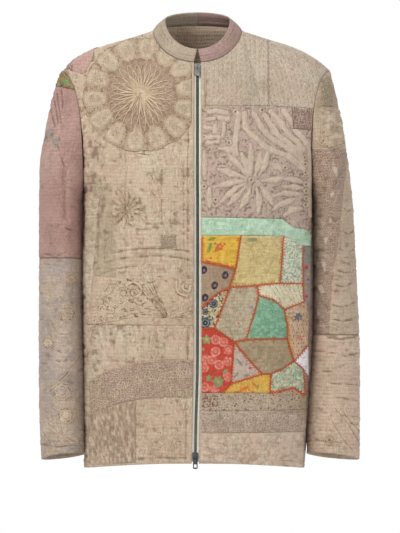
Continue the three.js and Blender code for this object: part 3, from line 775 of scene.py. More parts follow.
def wallObject(name, grid, ways, thickness, relief, uv, marks, material):
    # a wall of cloth: a fine outer face, a plain inner face and the rims between them
    rows, columns = grid.shape[:2]
    pickR, pickC = everyFew(rows), everyFew(columns)
    outer = grid + ways * relief[..., None]
    inner = (grid - ways * thickness)[pickR][:, pickC]
    outerId = np.arange(rows * columns).reshape(rows, columns)
    innerId = rows * columns + np.arange(inner[..., 0].size).reshape(inner.shape[:2])
    faces = stripQuads(outerId) + [f[::-1] for f in stripQuads(innerId)]
    for k, (a, b) in enumerate(zip(pickC, pickC[1:])):
        faces.append([*outerId[0, a:b + 1], innerId[0, k + 1], innerId[0, k]])
        faces.append([*outerId[-1, a:b + 1][::-1], innerId[-1, k], innerId[-1, k + 1]])
    for k, (a, b) in enumerate(zip(pickR, pickR[1:])):
        faces.append([*outerId[a:b + 1, 0][::-1], innerId[k, 0], innerId[k + 1, 0]])
        faces.append([*outerId[a:b + 1, -1], innerId[k + 1, -1], innerId[k, -1]])
    turned = np.cross(grid[1, 0] - grid[0, 0], grid[0, 1] - grid[0, 0]) @ ways[0, 0] < 0
    faces = [f[::-1] for f in faces] if turned else faces
    points = np.concatenate([outer.reshape(-1, 3), inner.reshape(-1, 3)])
    innerUv = uv[pickR][:, pickC]
    uvAll = np.concatenate([uv.reshape(-1, 2), innerUv.reshape(-1, 2)])
    spare = inner[..., 0].size
    marks = {"relief": relief, **marks}
    rest = {key: np.append(value.ravel(), np.full(spare, -9.0 if key != "relief" else 0.0))
            for key, value in marks.items()}
    return makeObject(name, points, faces, material, uvAll, rest)


def surfaceOf(grid):
    # a smooth surface to lay patches and threads on, in metres
    ids = np.arange(grid[..., 0].size).reshape(grid.shape[:2])
    return BVHTree.FromPolygons((grid.reshape(-1, 3) * mm).tolist(), stripQuads(ids))


outside = 400  # further out in Y than any cloth
chestDepth = 120  # how far out cloth is looked for before the first hit


def dropOn(surface, x, z):
    # places and ways out, in millimetres, where lines from in front meet the surface
    points, ways = np.zeros((len(x), 3)), np.zeros((len(x), 3))
    last, lastWay = (0, -chestDepth, 0), (0, -1, 0)
    for k, (a, b) in enumerate(zip(x, z)):
        hit = surface.ray_cast((a * mm, -outside * mm, b * mm), (0, 1, 0))
        if hit[0] is None:
            hit = surface.find_nearest((a * mm, last[1] * mm, b * mm))
        way = hit[1] * (1 if hit[1].y < 0 else -1)
        last, lastWay = tuple(hit[0] / mm), tuple(way)
        points[k], ways[k] = last, lastWay
    return points, ways


def evenly(path, step, stops=(0, 1)):
    # values that divide a path into equal lengths and keep the given stops
    values = []
    for a, b in zip(stops, stops[1:]):
        t = np.linspace(a, b, 160)
        length = pathLengths(path(t))
        count = max(int(round(length[-1] / step)), 1)
        values.append(np.interp(np.linspace(0, length[-1], count + 1), length, t)[:-1])
    return np.append(np.concatenate(values), stops[-1])


def flatSize(grid):
    # width and length of the cut, and its area, in metres
    across = np.linalg.norm(np.diff(grid, axis=1), axis=-1).sum(axis=1)
    down = np.linalg.norm(np.diff(grid, axis=0), axis=-1).sum(axis=0)
    ids = stripQuads(np.arange(grid[..., 0].size).reshape(grid.shape[:2]))
    p = grid.reshape(-1, 3)[np.array(ids)]
    area = np.linalg.norm(np.cross(p[:, 2] - p[:, 0], p[:, 3] - p[:, 1]), axis=-1).sum() / 2
    return (float(across.max()) * mm, float(down.max()) * mm), float(area) * mm * mm


leastFill = 0.31  # the smallest share of its flat width by length that a piece covers


def declareSheet(made, size, area, held, restsOn=()):
    width, length = size
    area = min(max(area, leastFill * width * length), width * length)


def finishPiece(made, replaced):
    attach(made, "jacket")
    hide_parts(replaced)


def resample(outline, step):
    line = []
    for (ax, az), (bx, bz) in zip(outline, outline[1:] + outline[:1]):
        count = max(int(math.hypot(bx - ax, bz - az) / step), 1)
        line += [(mix(ax, bx, k / count), mix(az, bz, k / count)) for k in range(count)]
    return line


def borderDistance(outline, x, z):
    return awayFrom(x, z, outline + outline[:1])


patchCut = {
    "cell": 1.7, "rowGap": 0.87, "margin": 0.55,  # the net of points, the last two as shares of a cell
    "seam": 0.25, "ragged": 0.35,  # how far the edge is drawn in
    "lift": 0.5, "rise": 1.0, "edge": 2.2, "dip": 0.5,  # height at the edge, at the middle and between
    "rim": 0.9, "turnIn": 0.5,  # the edge folded under
}


def patchObject(name, outline, surface, material, paint, backing):
    # one sewn-on patch: an outer face that swells from its sewn edge, turned under all round
    cell = patchCut["cell"]
    line = np.array(resample(outline, cell))
    wave = wobble(line[:, 0] * 1.3, line[:, 1] * 1.3, 3.0, 11) * patchCut["ragged"]
    inward = unit(line.mean(axis=0) - line)
    line = line + inward * (patchCut["seam"] + np.abs(wave))[:, None]
    low, high = line.min(axis=0), line.max(axis=0)
    rows = np.arange(low[1], high[1], cell * patchCut["rowGap"])
    across, down = np.meshgrid(np.arange(low[0], high[0], cell), rows)
    across = across + cell / 2 * (np.arange(len(across)) % 2)[:, None]
    x, z = across.ravel(), down.ravel()
    border = [tuple(p) for p in line]
    keep = insideOf(border, x, z)
    x, z = x[keep], z[keep]
    keep = borderDistance(border, x, z) > cell * patchCut["margin"]
    x, z = np.append(line[:, 0], x[keep]), np.append(line[:, 1], z[keep])
    count = len(line)
    edges = [(k, (k + 1) % count) for k in range(count)]
    flat = geometry.delaunay_2d_cdt(list(zip(x.tolist(), z.tolist())), edges, [list(range(count))], 1,
                                    1e-5)
    x, z = np.array([p[0] for p in flat[0]]), np.array([p[1] for p in flat[0]])
    points, ways = dropOn(surface, x, z)
    deep = borderDistance(border, x, z)
    marks = paint(x, z)
    relief = np.maximum(marks.pop("relief", np.zeros(len(x))), -patchCut["dip"])
    full = smooth(deep / patchCut["edge"])
    height = patchCut["lift"] + (patchCut["rise"] + relief) * full
    outer = points + ways * height[:, None]
    turnIn = stack(inward[:, 0], 0 * inward[:, 0], inward[:, 1]) * patchCut["turnIn"]
    under = outer[:count] - ways[:count] * patchCut["rim"] + turnIn
    faces = [f[::-1] for f in flat[2]]
    total = len(x)
    signed = sum(a[0] * b[1] - b[0] * a[1] for a, b in zip(border, border[1:] + border[:1]))
    for a, b in edges:
        rim = [a, b, total + b, total + a]
        faces.append(rim if signed > 0 else rim[::-1])
    uv = np.append(stack(x, z), stack(x[:count], z[:count]), axis=0)
    marks = {"relief": relief * full, **marks}
    shown = {key: np.append(value, value[:count]) for key, value in marks.items()}
    made = makeObject(name, np.append(outer, under, axis=0), faces, material, uv, shown)
    size = tuple(float(v) * mm for v in (high - low))
    a, b, c = (outer[np.array(flat[2])[:, k]] for k in range(3))
    area = float(np.linalg.norm(np.cross(b - a, c - a), axis=1).sum()) / 2 * mm * mm
    stretch = max(area / (size[0] * size[1]), 1.0) ** 0.5
    declareSheet(made, (size[0] * stretch, size[1] * stretch), area, "stretched", [backing])
    return made


def tubesObject(name, lines, material, thick, corners=4):
    # cords and stitches as one mesh of tubes; each line is its points and the ways out of the cloth
    points, faces, base = [], [], 0
    turn = np.arange(corners) / corners * 2 * math.pi
    for at, way in lines:
        aside = unit(np.cross(unit(np.gradient(at, axis=0)), way))
        radius = np.full(len(at), thick)
        radius[[0, -1]] *= 0.6
        circle = aside[:, None] * np.cos(turn)[None, :, None] + way[:, None] * np.sin(turn)[None, :, None]
        points.append((at[:, None] + circle * radius[:, None, None]).reshape(-1, 3))
        ids = base + np.arange(len(at) * corners).reshape(-1, corners)
        base += ids.size
        faces += [f[::-1] for f in stripQuads(np.append(ids, ids[:, :1], axis=1))]
        faces += [ids[0].tolist(), ids[-1][::-1].tolist()]
    made = makeObject(name, np.concatenate(points), faces, material)
    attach(made, "jacket")
    return made


def laidOn(surface, paths, lift):
    # flat paths as (x, z), dropped on the cloth
    lines = []
    for path in paths:
        flat = np.array(path, float)
        at, way = dropOn(surface, flat[:, 0], flat[:, 1])
        lines.append((at + way * lift, way))
    return lines


def walk(path, step):
    # points an equal step apart along a flat path
    line = np.array(path, float)
    length = np.append(0, np.cumsum(np.hypot(*np.diff(line, axis=0).T)))
    marks = np.linspace(0, length[-1], max(int(length[-1] / step), 1) + 1)
    return np.column_stack([np.interp(marks, length, line[:, k]) for k in range(line.shape[1])])


def dashes(path, long, gap):
    # running stitches along a flat path
    stops = walk(path, long + gap)
    share = long / (long + gap)
    return [[a, a + (b - a) * share / 2, a + (b - a) * share] for a, b in zip(stops, stops[1:])]


print("mesh tools ready")


# Panels

panelCell = {"front": 2.5, "back": 3.2, "sleeve": 2.6, "collar": 1.8}

# Long soft creases of the worn jacket: a line across the cloth as (x, z), how wide and how deep
creases = {
    "frontRight": [
        ([(-58, -430), (-64, -600), (-60, -735)], 24, 3.5),
        ([(-178, -225), (-140, -262), (-118, -330)], 13, 3.0),
        ([(-150, -330), (-142, -500), (-150, -700)], 15, 2.5),
        ([(-190, -190), (-150, -170), (-110, -190)], 12, 2.0),
        ([(-30, -250), (-80, -262), (-130, -240)], 14, 1.5),
    ],
    "frontLeft": [
        ([(68, -430), (78, -600), (72, -735)], 26, 3.0),
        ([(176, -222), (150, -275), (142, -350)], 14, 3.0),
        ([(150, -420), (158, -560), (150, -735)], 14, 3.0),
        ([(186, -600), (170, -640), (130, -660)], 12, 2.0),
    ],
    "back": [
        ([(-172, -190), (-120, -250), (-92, -340)], 22, 6.0),
        ([(172, -195), (124, -262), (100, -350)], 20, 5.5),
        ([(-60, -330), (-66, -520), (-52, -738)], 30, 5.5),
        ([(70, -350), (62, -540), (76, -738)], 28, 5.0),
        ([(4, -140), (-4, -300), (8, -480)], 18, 2.5),
        ([(-140, -420), (-152, -560), (-140, -735)], 16, 3.5),
        ([(148, -430), (140, -600), (152, -735)], 16, 3.5),
    ],
    "sleeveRight": [
        ([(-225, -100), (-229, -150), (-223, -220), (-221, -320)], 5, 5.0),
        ([(-206, -300), (-228, -318), (-252, -306)], 9, 1.0),
        ([(-210, -352), (-236, -366), (-256, -352)], 9, 1.0),
        ([(-208, -430), (-232, -446), (-254, -438)], 10, 1.0),
        ([(-214, -560), (-240, -572), (-256, -560)], 10, 1.0),
    ],
    "sleeveLeft": [
        ([(222, -205), (240, -214), (248, -208)], 7, 0.8),
        ([(226, -262), (246, -272), (256, -262)], 8, 0.9),
        ([(220, -318), (244, -334), (260, -324)], 9, 1.1),
        ([(222, -372), (248, -384), (262, -372)], 8, 0.9),
        ([(216, -436), (242, -448), (264, -440)], 9, 1.0),
        ([(212, -560), (240, -572), (266, -562)], 9, 1.0),
        ([(208, -604), (242, -618), (266, -606)], 8, 0.9),
        ([(210, -664), (240, -676), (264, -668)], 9, 1.2),
    ],
}


def creased(grid, ways, lines):
    drop = np.zeros(grid[..., 0].shape)
    for line, width, depth in lines:
        drop += depth * swell(awayFrom(grid[..., 0], grid[..., 2], curve(line)), 0, width)
    return grid - ways * drop[..., None]


def edgeArcs(grid):
    # distance from each edge of a panel: first column, last column, top and bottom row
    across = np.cumsum(np.linalg.norm(np.diff(grid, axis=1, prepend=grid[:, :1]), axis=-1), axis=1)
    down = np.cumsum(np.linalg.norm(np.diff(grid, axis=0, prepend=grid[:1]), axis=-1), axis=0)
    return across, across[:, -1:] - across, down, down[-1:] - down


def groove(distance, at, width, depth):
    return -depth * swell(distance, at, width)


def sewnEdge(relief, distance, width=2.2):
    # held flat by a seam, with a groove along it
    return relief * smooth(distance / 4) + groove(distance, 0, width, 0.9)


def turnedEdge(relief, distance, at, width, depth):
    # a hem, flat at the fold and grooved where it is stitched
    return relief * smooth((distance - 2) / 6) + groove(distance, at, width, depth)


def crumple(x, z, seed, amount):
    # the small puckers that hand quilting leaves all over
    broad = wobble(x, z, 14, seed) * 0.22
    small = wobble(x, z, 5.6, seed + 1) * 0.5
    rows = wobble(x, z * 1.9, 5.4, seed + 2) * 0.4
    return (broad + small + rows) * amount


def fromMiddleLine(grid):
    # rough directions out of the body, a little upwards
    return grid * (1, 1, 0) + (0, 0, 40)


def panel(side, face, cell, lines):
    s = evenly(lambda t: bodyPoint(side, face, t, 1.3), cell, (0, body["neckShare"], 1))
    r = evenly(lambda t: bodyPoint(side, face, 0.35, t), cell, (0, 1, 2))
    grid = bodyPoint(side, face, s[None, :], r[:, None])
    outward = fromMiddleLine(grid)
    base = creased(grid, waysOut(grid, outward), lines)
    return base, waysOut(base, outward)


# Sewn lines and marks on the plain right front
rightFront = {
    "daisy": {"at": (-118, -304), "petals": 13, "inner": 4, "outer": 31, "width": 2.4},
    "leaves": [
        [(-121, -320), (-110, -322), (-107, -334), (-119, -331), (-121, -320)],
        [(-140, -318), (-144, -326), (-139, -334), (-133, -326), (-140, -318)],
        [(-97, -306), (-88, -310), (-84, -330), (-94, -320), (-97, -306)],
    ],
    # short dark tears and stitches
    "slits": [
        [(-131.6, -410.4), (-127, -413), (-122.5, -416.9)],
        [(-118.6, -422.1), (-112, -424), (-105.6, -420.8)],
        [(-117.3, -424.7), (-109.5, -427.3), (-106.9, -431.2)],
        [(-91.9, -418.2), (-90, -421), (-88, -422.8)], [(-83.5, -426.7), (-81, -429), (-78.3, -429.3)],
        [(-65.2, -419.3), (-62, -419), (-58.7, -420.6)], [(-54.2, -425.4), (-52, -426.5), (-50.3, -426)],
        [(-42.5, -419.8), (-40, -420), (-37.3, -422.8)],
        [(-34, -426), (-35.3, -439), (-31.4, -446.9), (-24.9, -450.8), (-17.1, -452)],
        [(-24.9, -431.2), (-22.3, -437.7), (-16.5, -439)], [(-96.5, -439), (-91, -445), (-87.4, -450.8)],
        [(-94.5, -458.6), (-93, -462), (-91.3, -465)], [(-114.7, -458.6), (-110, -461.5), (-105.6, -461.8)],
        [(-126.4, -474.2), (-122, -473), (-118.6, -474.8)], [(-172, -191), (-164, -197), (-156, -203)],
        [(-103, -213), (-90, -214), (-79, -216)], [(-64, -190), (-61, -200), (-55, -206)],
        [(-79, -247), (-75, -254), (-71, -262)], [(-78, -276), (-74, -280), (-71, -284)],
        [(-144, -331), (-139, -338), (-134, -344)], [(-122, -320), (-116, -330), (-107, -334)],
        [(-45.8, -629.3), (-40.6, -630.6), (-35.4, -633.8)],
        [(-56.2, -655.3), (-53.6, -650), (-45.8, -648.8)], [(-62.7, -682.6), (-60, -676), (-53.6, -676)],
        [(-62.7, -706), (-60, -702), (-53.6, -698)], [(-35.4, -693), (-31, -694), (-27.6, -693.6)],
        [(-119.8, -673.5), (-116, -676), (-121, -679)], [(-61.4, -721.6), (-60, -718), (-60, -715)],
        [(-20, -606), (-17, -613), (-10, -616.5)], [(-108, -706), (-104, -712), (-103, -716)],
        [(-116, -712), (-110, -719), (-106, -722)],
    ],
    "torn": 14,  # how many of the slits have loose threads
    "arches": [
        [(-156, -396), (-128, -389), (-99, -386), (-72, -384), (-40, -386), (-12, -391)],
        [(-144, -379), (-110, -374), (-76, -372), (-33, -374), (-12, -378)],
        [(-160, -414), (-128, -404), (-100, -401)],
    ],
    "tucks": [
        [(-100, -340), (-66, -338)], [(-100, -349), (-64, -348)], [(-38, -232), (-37, -340)],
        [(-60, -236), (-60, -338)], [(-24, -228), (-22, -372)],
    ],
    "sprigs": [
        [(-92, -650), (-84, -664), (-88, -684)], [(-70, -648), (-58, -662), (-60, -690)],
        [(-48, -672), (-40, -690), (-46, -712)], [(-30, -648), (-22, -668), (-30, -688)],
        [(-84, -700), (-72, -706), (-60, -700)], [(-36, -636), (-24, -640), (-12, -634)],
    ],
}


def daisyLines(look):
    lines = []
    for k in range(look["petals"]):
        a = 2 * math.pi * (k + 0.3) / look["petals"]
        long = look["outer"] * (0.85 + 0.15 * math.sin(5 * k))
        lines.append([(look["at"][0] + q * math.cos(a), look["at"][1] + q * math.sin(a))
                      for q in (look["inner"], long)])
    return lines


def slitMarks(x, z):
    return joined([stroke(x, z, curve(line), 0.75) for line in rightFront["slits"]])


def paintRightFront(x, z):
    relief = crumple(x, z, 21, 1.15)
    relief += 0.8 * wobble(x, z, 5.2, 35) * smooth((-166 - x) / 6)
    relief += 0.9 * wobble(x * 2.2, z * 0.7, 9, 31) * smooth((-146 - x) / 12) * smooth((z + 440) / 40)
    relief += 0.5 * wobble(x * 2.4, z * 0.35, 8, 33) * smooth((-490 - z) / 12) * smooth((z + 566) / 12)
    dark = blank(x)
    for line in daisyLines(rightFront["daisy"]):
        petal = stroke(x, z, line, (1.2, rightFront["daisy"]["width"]))
        relief += 1.2 * raised(petal, 2.4) - 0.6 * raised(2.0 - np.abs(petal + 1.5), 1.4)
    for leaf in rightFront["leaves"]:
        edge = stroke(x, z, curve(leaf), 1.0)
        relief -= 0.9 * raised(edge, 1.0)
    for line in rightFront["arches"]:
        away = awayFrom(x, z, curve(line))
        relief += groove(away, 0, 1.8, 1.0) + 0.7 * swell(away, 4, 2.2)
        dark = np.maximum(dark, 0.4 - away)
    for line in rightFront["tucks"]:
        away = awayFrom(x, z, line)
        relief += groove(away, 0, 1.5, 0.7)
        dark = np.maximum(dark, 0.1 - away)
    for line in rightFront["sprigs"]:
        away = awayFrom(x, z, curve(line))
        relief += 0.6 * swell(away, 0, 1.8)
    shade = np.minimum(np.minimum(-140 - x - 8 * wobble(x, z, 14, 37), x + 176),
                       np.minimum(-262 - z, z + 424))
    return {"relief": relief - 0.8 * raised(slitMarks(x, z), 1), "ink1": dark, "ink2": slitMarks(x, z),
            "ink3": shade / 3}


def paintYoke(x, z):
    relief = crumple(x, z, 51, 0.4) + 0.4 * wobble(x * 2.2, z * 0.8, 9, 52)
    lace = np.minimum(x - 184, -134 - z) + wobble(x, z, 6, 53)
    relief += 0.7 * wobble(x, z, 4.6, 54) * raised(lace, 2)
    return {"relief": relief, "ink1": lace}


def paintBack(x, z):
    relief = crumple(x, z, 61, 0.6) + 0.3 * wobble(x * 0.6, z * 1.8, 10, 62)
    seam = awayFrom(x, z, [(-200, -205), (200, -205)])
    relief += groove(seam, 0, 1.8, 1.0)
    return {"relief": relief, "ink1": 0.4 - seam}


def makePanel(name, grid, ways, paint, material, edges):
    marks = paint(grid[..., 0], grid[..., 2])
    relief = marks.pop("relief")
    for distance, kind in zip(edgeArcs(grid), edges):
        if kind == "seam":
            relief = sewnEdge(relief, distance)
        else:
            relief = turnedEdge(relief, distance, 9, 1.3, 0.8) + 0.5 * swell(distance, 4.5, 2.6)
    uv = stack(grid[..., 0], grid[..., 2])
    bend = np.abs(grid[..., 0]) > 120
    behind = body["halfDepth"] - np.abs(grid[..., 1])
    uv[..., 0] += np.where(bend, np.sign(grid[..., 0]) * behind * 0.6, 0)
    made = wallObject(name + ".cloth", grid, ways, body["cloth"], relief, uv, marks, material)
    declareSheet(made, *flatSize(grid), "hung")
    finishPiece(made, name)


beigeCloth = clothMaterial("beigeCloth", color=(200, 180, 153), blushed=0.5, stitched=0.14, crinkled=0.6,
                           upright=1.7, inks=[(150, 128, 104), (128, 104, 84), (186, 166, 140)])
yokeCloth = clothMaterial("yokeCloth", color=(200, 184, 162), faded=(212, 198, 178), blushed=0.35,
                          stitched=0.26, stitchUpright=1.0, inks=[(182, 158, 142)], rowGap=0.0078,
                          stitchLength=0.0094, crested=0.25, net=0.8, netInk=1, netHole=(124, 100, 88),
                          netSize=0.0042)
backCloth = clothMaterial("backCloth", color=(194, 174, 148), faded=(212, 196, 170), stitched=0.5,
                          blushed=0.4, inks=[(132, 110, 88)], pucker=0.6)

surfaces = {}
frontFinish = {"right": (paintRightFront, beigeCloth), "left": (paintYoke, yokeCloth)}
for side in sides:
    grid, ways = panel(side, -1, panelCell["front"], creases["front" + side.capitalize()])
    surfaces[side] = surfaceOf(grid)
    makePanel("front_" + side, grid, ways, *frontFinish[side], ("hem", "seam", "seam", "hem"))
backHalves = [panel(side, 1, panelCell["back"], [])[0] for side in sides]
backGrid = np.concatenate([backHalves[0][:, :0:-1], backHalves[1]], axis=1)
backOut = fromMiddleLine(backGrid)
backGrid = creased(backGrid, waysOut(backGrid, backOut), creases["back"])
makePanel("back", backGrid, waysOut(backGrid, backOut), paintBack, backCloth,
          ("seam", "seam", "seam", "hem"))
print("body panels made")


# Sleeves, each an upper and a lower tube with its long seam under the arm

sleeveMarks = {
    "right": {
        "rosettes": [((-219.5, -482), 12), ((-252, -531), 9.5), ((-229, -612), 15), ((-222, -653), 13),
                     ((-214, -424), 9)],
        "vines": [
            [(-204.7, -555), (-216, -571), (-228.5, -588.7), (-262, -612.5)],
            [(-203, -562), (-214, -577), (-226, -593), (-250, -612)],
            [(-252.4, -667.4), (-228, -684), (-204.7, -698)], [(-255, -674), (-232, -690), (-212, -702)],
            [(-262, -681.7), (-254, -694), (-247.6, -703)],
            [(-257, -453), (-244, -460), (-230, -452), (-228, -464)],
            [(-246, -494), (-243, -506), (-236, -514)], [(-232, -515), (-218, -514), (-209, -506)],
        ],
        # wrinkles: grooved folds with painted shade along them
        "wrinkles": [
            [(-222, -268), (-214, -271), (-205, -273)], [(-222, -337), (-216, -340), (-213, -341)],
            [(-252, -333), (-240, -335), (-234, -333)], [(-232, -214), (-226, -228), (-222, -236)],
            [(-250, -205), (-240, -208), (-230, -206)], [(-246, -190), (-238, -196), (-230, -210)],
            [(-258, -380), (-240, -384), (-222, -378)], [(-262, -703), (-236, -706), (-204, -702)],
            [(-240, -106), (-234, -140), (-229, -168)], [(-246, -112), (-240, -138), (-236, -160)],
            [(-252, -130), (-246, -150), (-242, -166)], [(-232, -102), (-229, -120), (-229, -140)],
            [(-236, -544), (-224, -548), (-216, -542)], [(-238, -561), (-228, -563), (-220, -560)],
        ],
    },
    "left": {
        "rosettes": [((222, -694), 8)],
        "vines": [
            [(232, -642), (250, -662), (274, -699)], [(240, -640), (256, -660), (276, -684)],
            [(228, -664), (244, -690), (262, -712)],
        ],
        # wrinkles: grooved folds with painted shade along them
        "wrinkles": [
            [(217, -516), (230, -518.5), (243, -517), (274, -519)], [(217, -521), (240, -524), (276, -521)],
            [(197, -544.5), (216, -546), (235, -548)], [(237, -551.5), (256, -552), (273.8, -548)],
            [(212.3, -579), (225, -578.5), (235, -573), (251, -566.3)],
            [(219, -597), (235, -600.5), (273.8, -601.6)], [(235, -623.2), (250, -625), (269, -627.8)],
            [(242, -652.8), (256, -655), (273.8, -656)], [(255.6, -666), (264, -668), (273.8, -669)],
            [(232, -432), (246, -436), (262, -430)], [(228, -466), (246, -470), (266, -462)],
            [(236, -408), (252, -412), (270, -406)], [(240, -372), (252, -378), (268, -372)],
            [(246, -342), (256, -347), (266, -340)], [(248, -304), (256, -308), (264, -302)],
            [(228, -490), (246, -494), (270, -488)],
        ],
    },
}
laceColumn = [(-514, 221.5), (-459, 225), (-392, 232), (-347, 240), (-308, 244), (-256, 249), (-208, 258)]


def sleeveMarksAt(side, x, z, kind):
    # distance from the nearest of the sleeve's lines of that kind
    return np.minimum.reduce([awayFrom(x, z, curve(line)) for line in sleeveMarks[side][kind]])


def paintSleeve(side, lower, x, z):
    left = side == "left"
    relief = crumple(x, z, 71 if left else 75, 1.0 if left or lower else 0.7)
    relief += 0.45 * wobble(x * 0.5, z * 1.7, 9, 77) * (1.0 if left else 0.5)
    fold = sleeveMarksAt(side, x, z, "wrinkles")
    relief += groove(fold, 0, 1.6, 1.1) + 0.7 * swell(fold, 4.0, 2.0)
    # ink1: painted shade along the wrinkle folds, then the dark marks round the rosettes and along the vines
    dark = 0.35 - fold
    lace, pink = blank(x), blank(x)
    if lower:
        for at, size in sleeveMarks[side]["rosettes"]:
            edge = blossom(x, z, at, size, 8, 0.12)
            relief += 1.1 * raised(edge, 2.5) - 1.2 * raised(1.8 - np.abs(edge - 5.5), 1.4)
            relief -= 1.0 * raised(spot(x, z, at, 2.4), 1.5)
            dark = np.maximum(dark, 0.5 + 0.9 * wobble(x, z, 3.4, 83) - np.abs(edge + 0.3))
        away = sleeveMarksAt(side, x, z, "vines")
        relief += 0.9 * swell(away, 2.4, 1.8) + groove(away, 0, 1.4, 0.8)
        dark = np.maximum(dark, 0.3 - away)
    elif left:
        # the lace column beside the body, the head in pink and plain cloth outside them
        lace = np.minimum(along(laceColumn, z) - x, -204 - z) + 1.5 * wobble(x, z, 8, 84)
        relief += 0.8 * wobble(x, z, 4.4, 79) * raised(lace, 3)
        for k in range(7):
            at = (232 - 4.6 * k, -242 - 40 * k)
            blob = spot(x, z, at, 5 + 1.5 * math.sin(k * 3.0), 1.9) + 3 * wobble(x, z, 5, 85)
            relief += 1.4 * raised(blob, 4)
            lace = np.minimum(lace, 1.8 - 0.7 * blob)
        pink = np.minimum(np.minimum(x - 231.5, -84 - z), np.minimum(z + 143, x - 231.5))
    else:
        lace = np.maximum(spot(x, z, (-254, -180), 14, 0.8, 0.6), spot(x, z, (-238, -192), 9, 1.1))
        lace += 4 * wobble(x, z, 6, 82)
        relief += 1.0 * wobble(x, z, 4.5, 81) * raised(lace, 3)
    return {"relief": relief, "ink1": dark, "ink2": lace, "ink3": pink}


def makeSleeve(side, lower, material, slotName):
    name = f"sleeve_{side}_{'lower' if lower else 'upper'}"
    cell, low = panelCell["sleeve"], int(lower)
    turns = evenly(lambda t: sleevePoint(side, 0.5 + t, 1.0), cell, (0, 0.5, 1))
    shares = evenly(lambda t: sleevePoint(side, 0.25, low + t), cell)
    grid = sleevePoint(side, 0.5 + turns[None, :], low + shares[:, None])
    middle = grid.mean(axis=1, keepdims=True)
    base = creased(grid, waysOut(grid, grid - middle), creases["sleeve" + side.capitalize()])
    marks = paintSleeve(side, lower, base[..., 0], base[..., 2])
    first, last, top, bottom = edgeArcs(base)
    relief = sewnEdge(marks.pop("relief"), np.minimum(first, last), 2)
    relief = sewnEdge(relief, top)
    relief = turnedEdge(relief, bottom, 20, 1.4, 0.9) if lower else sewnEdge(relief, bottom)
    uv = stack(first[len(first) // 2][None, :] + 0 * base[..., 0], base[..., 2])
    ways = waysOut(base, grid - middle)
    made = wallObject(name + ".cloth", base, ways, sleeve["cloth"], relief, uv, marks, material)
    declareSheet(made, *flatSize(base), "hung")
    finishPiece(made, name)
    return base


# On every sleeve cloth the first ink is painted shade along the wrinkles, joined on the lower sleeves by the
# dark marks round the rosettes and along the vines
pinkCloth = clothMaterial(
    "pinkCloth", color=(188, 148, 138), faded=(200, 165, 152), stain=(156, 122, 108),
    groove=(128, 94, 88), crest=(212, 180, 168), thread=(138, 106, 98),
    inks=[(124, 92, 84), (176, 162, 148)], stitched=0.25, net=0.6, netInk=2, netHole=(134, 114, 104),
)
swirlCloth = clothMaterial(
    "swirlCloth", color=(194, 172, 148), faded=(190, 172, 156), stain=(156, 136, 118),
    blush=(168, 156, 152), blushed=0.7, inks=[(124, 104, 86)], stitched=0.1, staining=0.4,
)
sleeveBeige = clothMaterial(
    "sleeveBeige", color=(202, 180, 153), faded=(212, 192, 167), blushed=0.5, stitched=0.2, specks=0.4,
    inks=[(134, 110, 92), (192, 166, 147), (194, 156, 146)], net=0.75, netInk=2,
    netHole=(134, 109, 93), netSize=0.0044,
)
cuffBeige = clothMaterial(
    "cuffBeige", color=(202, 180, 156), faded=(211, 191, 169), blushed=0.5, stitched=0.25, crested=0.3,
    inks=[(126, 102, 84)],
)

sleeveSurface = {}
sleeveFinish = {
    "right": [(pinkCloth, "pink_cloth"), (swirlCloth, "beige_cloth")],
    "left": [(sleeveBeige, "beige_cloth"), (cuffBeige, "beige_cloth")],
}
for side in sides:
    upper, lower = [makeSleeve(side, k == 1, *finish) for k, finish in enumerate(sleeveFinish[side])]
    sleeveSurface[side] = surfaceOf(np.concatenate([upper, lower]))
print("sleeves made")


# Collar

def makeCollar(side, material):
    turns = evenly(lambda t: collarPoint(side, t, 0.5), panelCell["collar"])
    ups = np.linspace(1, 0, 15)
    grid = collarPoint(side, turns[None, :], ups[:, None])
    outward = grid * (1, 1, 0) - (0, body["neckY"], 0) + (0, 0, 5)
    ways = waysOut(grid, outward)
    top, bottom = edgeArcs(grid)[2:]
    relief = crumple(grid[..., 0] + grid[..., 1], grid[..., 2], 91, 0.25)
    for at in collar["rows"]:
        relief += groove(top, at, 1.0, 0.35)
    relief *= smooth(np.minimum(top, bottom) / 2)
    uv = stack(turns[None, :] * collar["long"] + 0 * grid[..., 0],
               ups[:, None] * collar["high"] + 0 * grid[..., 0])
    lines = [0.35 - np.abs(top - at) for at in collar["rows"]]
    gap = collar["dotGap"]
    dots = [0.75 - np.hypot((uv[..., 0] + at) % gap - 4.7, top - at) for at in collar["dotRows"]]
    marks = {"ink1": joined(lines + dots)}
    name = "collar_" + side
    made = wallObject(name + ".cloth", grid, ways, collar["cloth"], relief, uv, marks, material)
    declareSheet(made, *flatSize(grid), "stretched")
    finishPiece(made, name)


collarBeige = clothMaterial("collarBeige", color=(172, 157, 138), faded=(184, 168, 148),
                            inks=[(124, 106, 90)], stitched=0.2)
mauveCloth = clothMaterial(
    "mauveCloth", color=(164, 132, 126), faded=(178, 148, 140), inks=[(118, 90, 86)], stitched=0.2,
)
makeCollar("right", collarBeige)
makeCollar("left", mauveCloth)


# Zip: woven tapes, two rows of teeth, sliders and pulls

zipper = {
    "tapeEdge": 14, "tapeIn": 2.5, "tapeDepth": 2.6, "tapeCloth": 0.8,
    "toothGap": 3.0, "toothHigh": 1.7, "toothIn": -0.35, "toothOut": 2.1, "toothDeep": 1.1,
    "top": -66, "bottom": -716, "reach": (0.012, 1.985),
}


def zipLine(step, top, bottom):
    # places down the zip's middle line with the ways out of the cloth
    r = evenly(zipPlace, step, zipper["reach"])
    at = zipPlace(r)
    keep = (at[:, 2] <= top) & (at[:, 2] >= bottom)
    at = at[keep]
    down = np.gradient(at, axis=0)
    out = unit(np.cross(down, (1, 0, 0)))
    return at, out * np.sign(-out[:, 1:2])


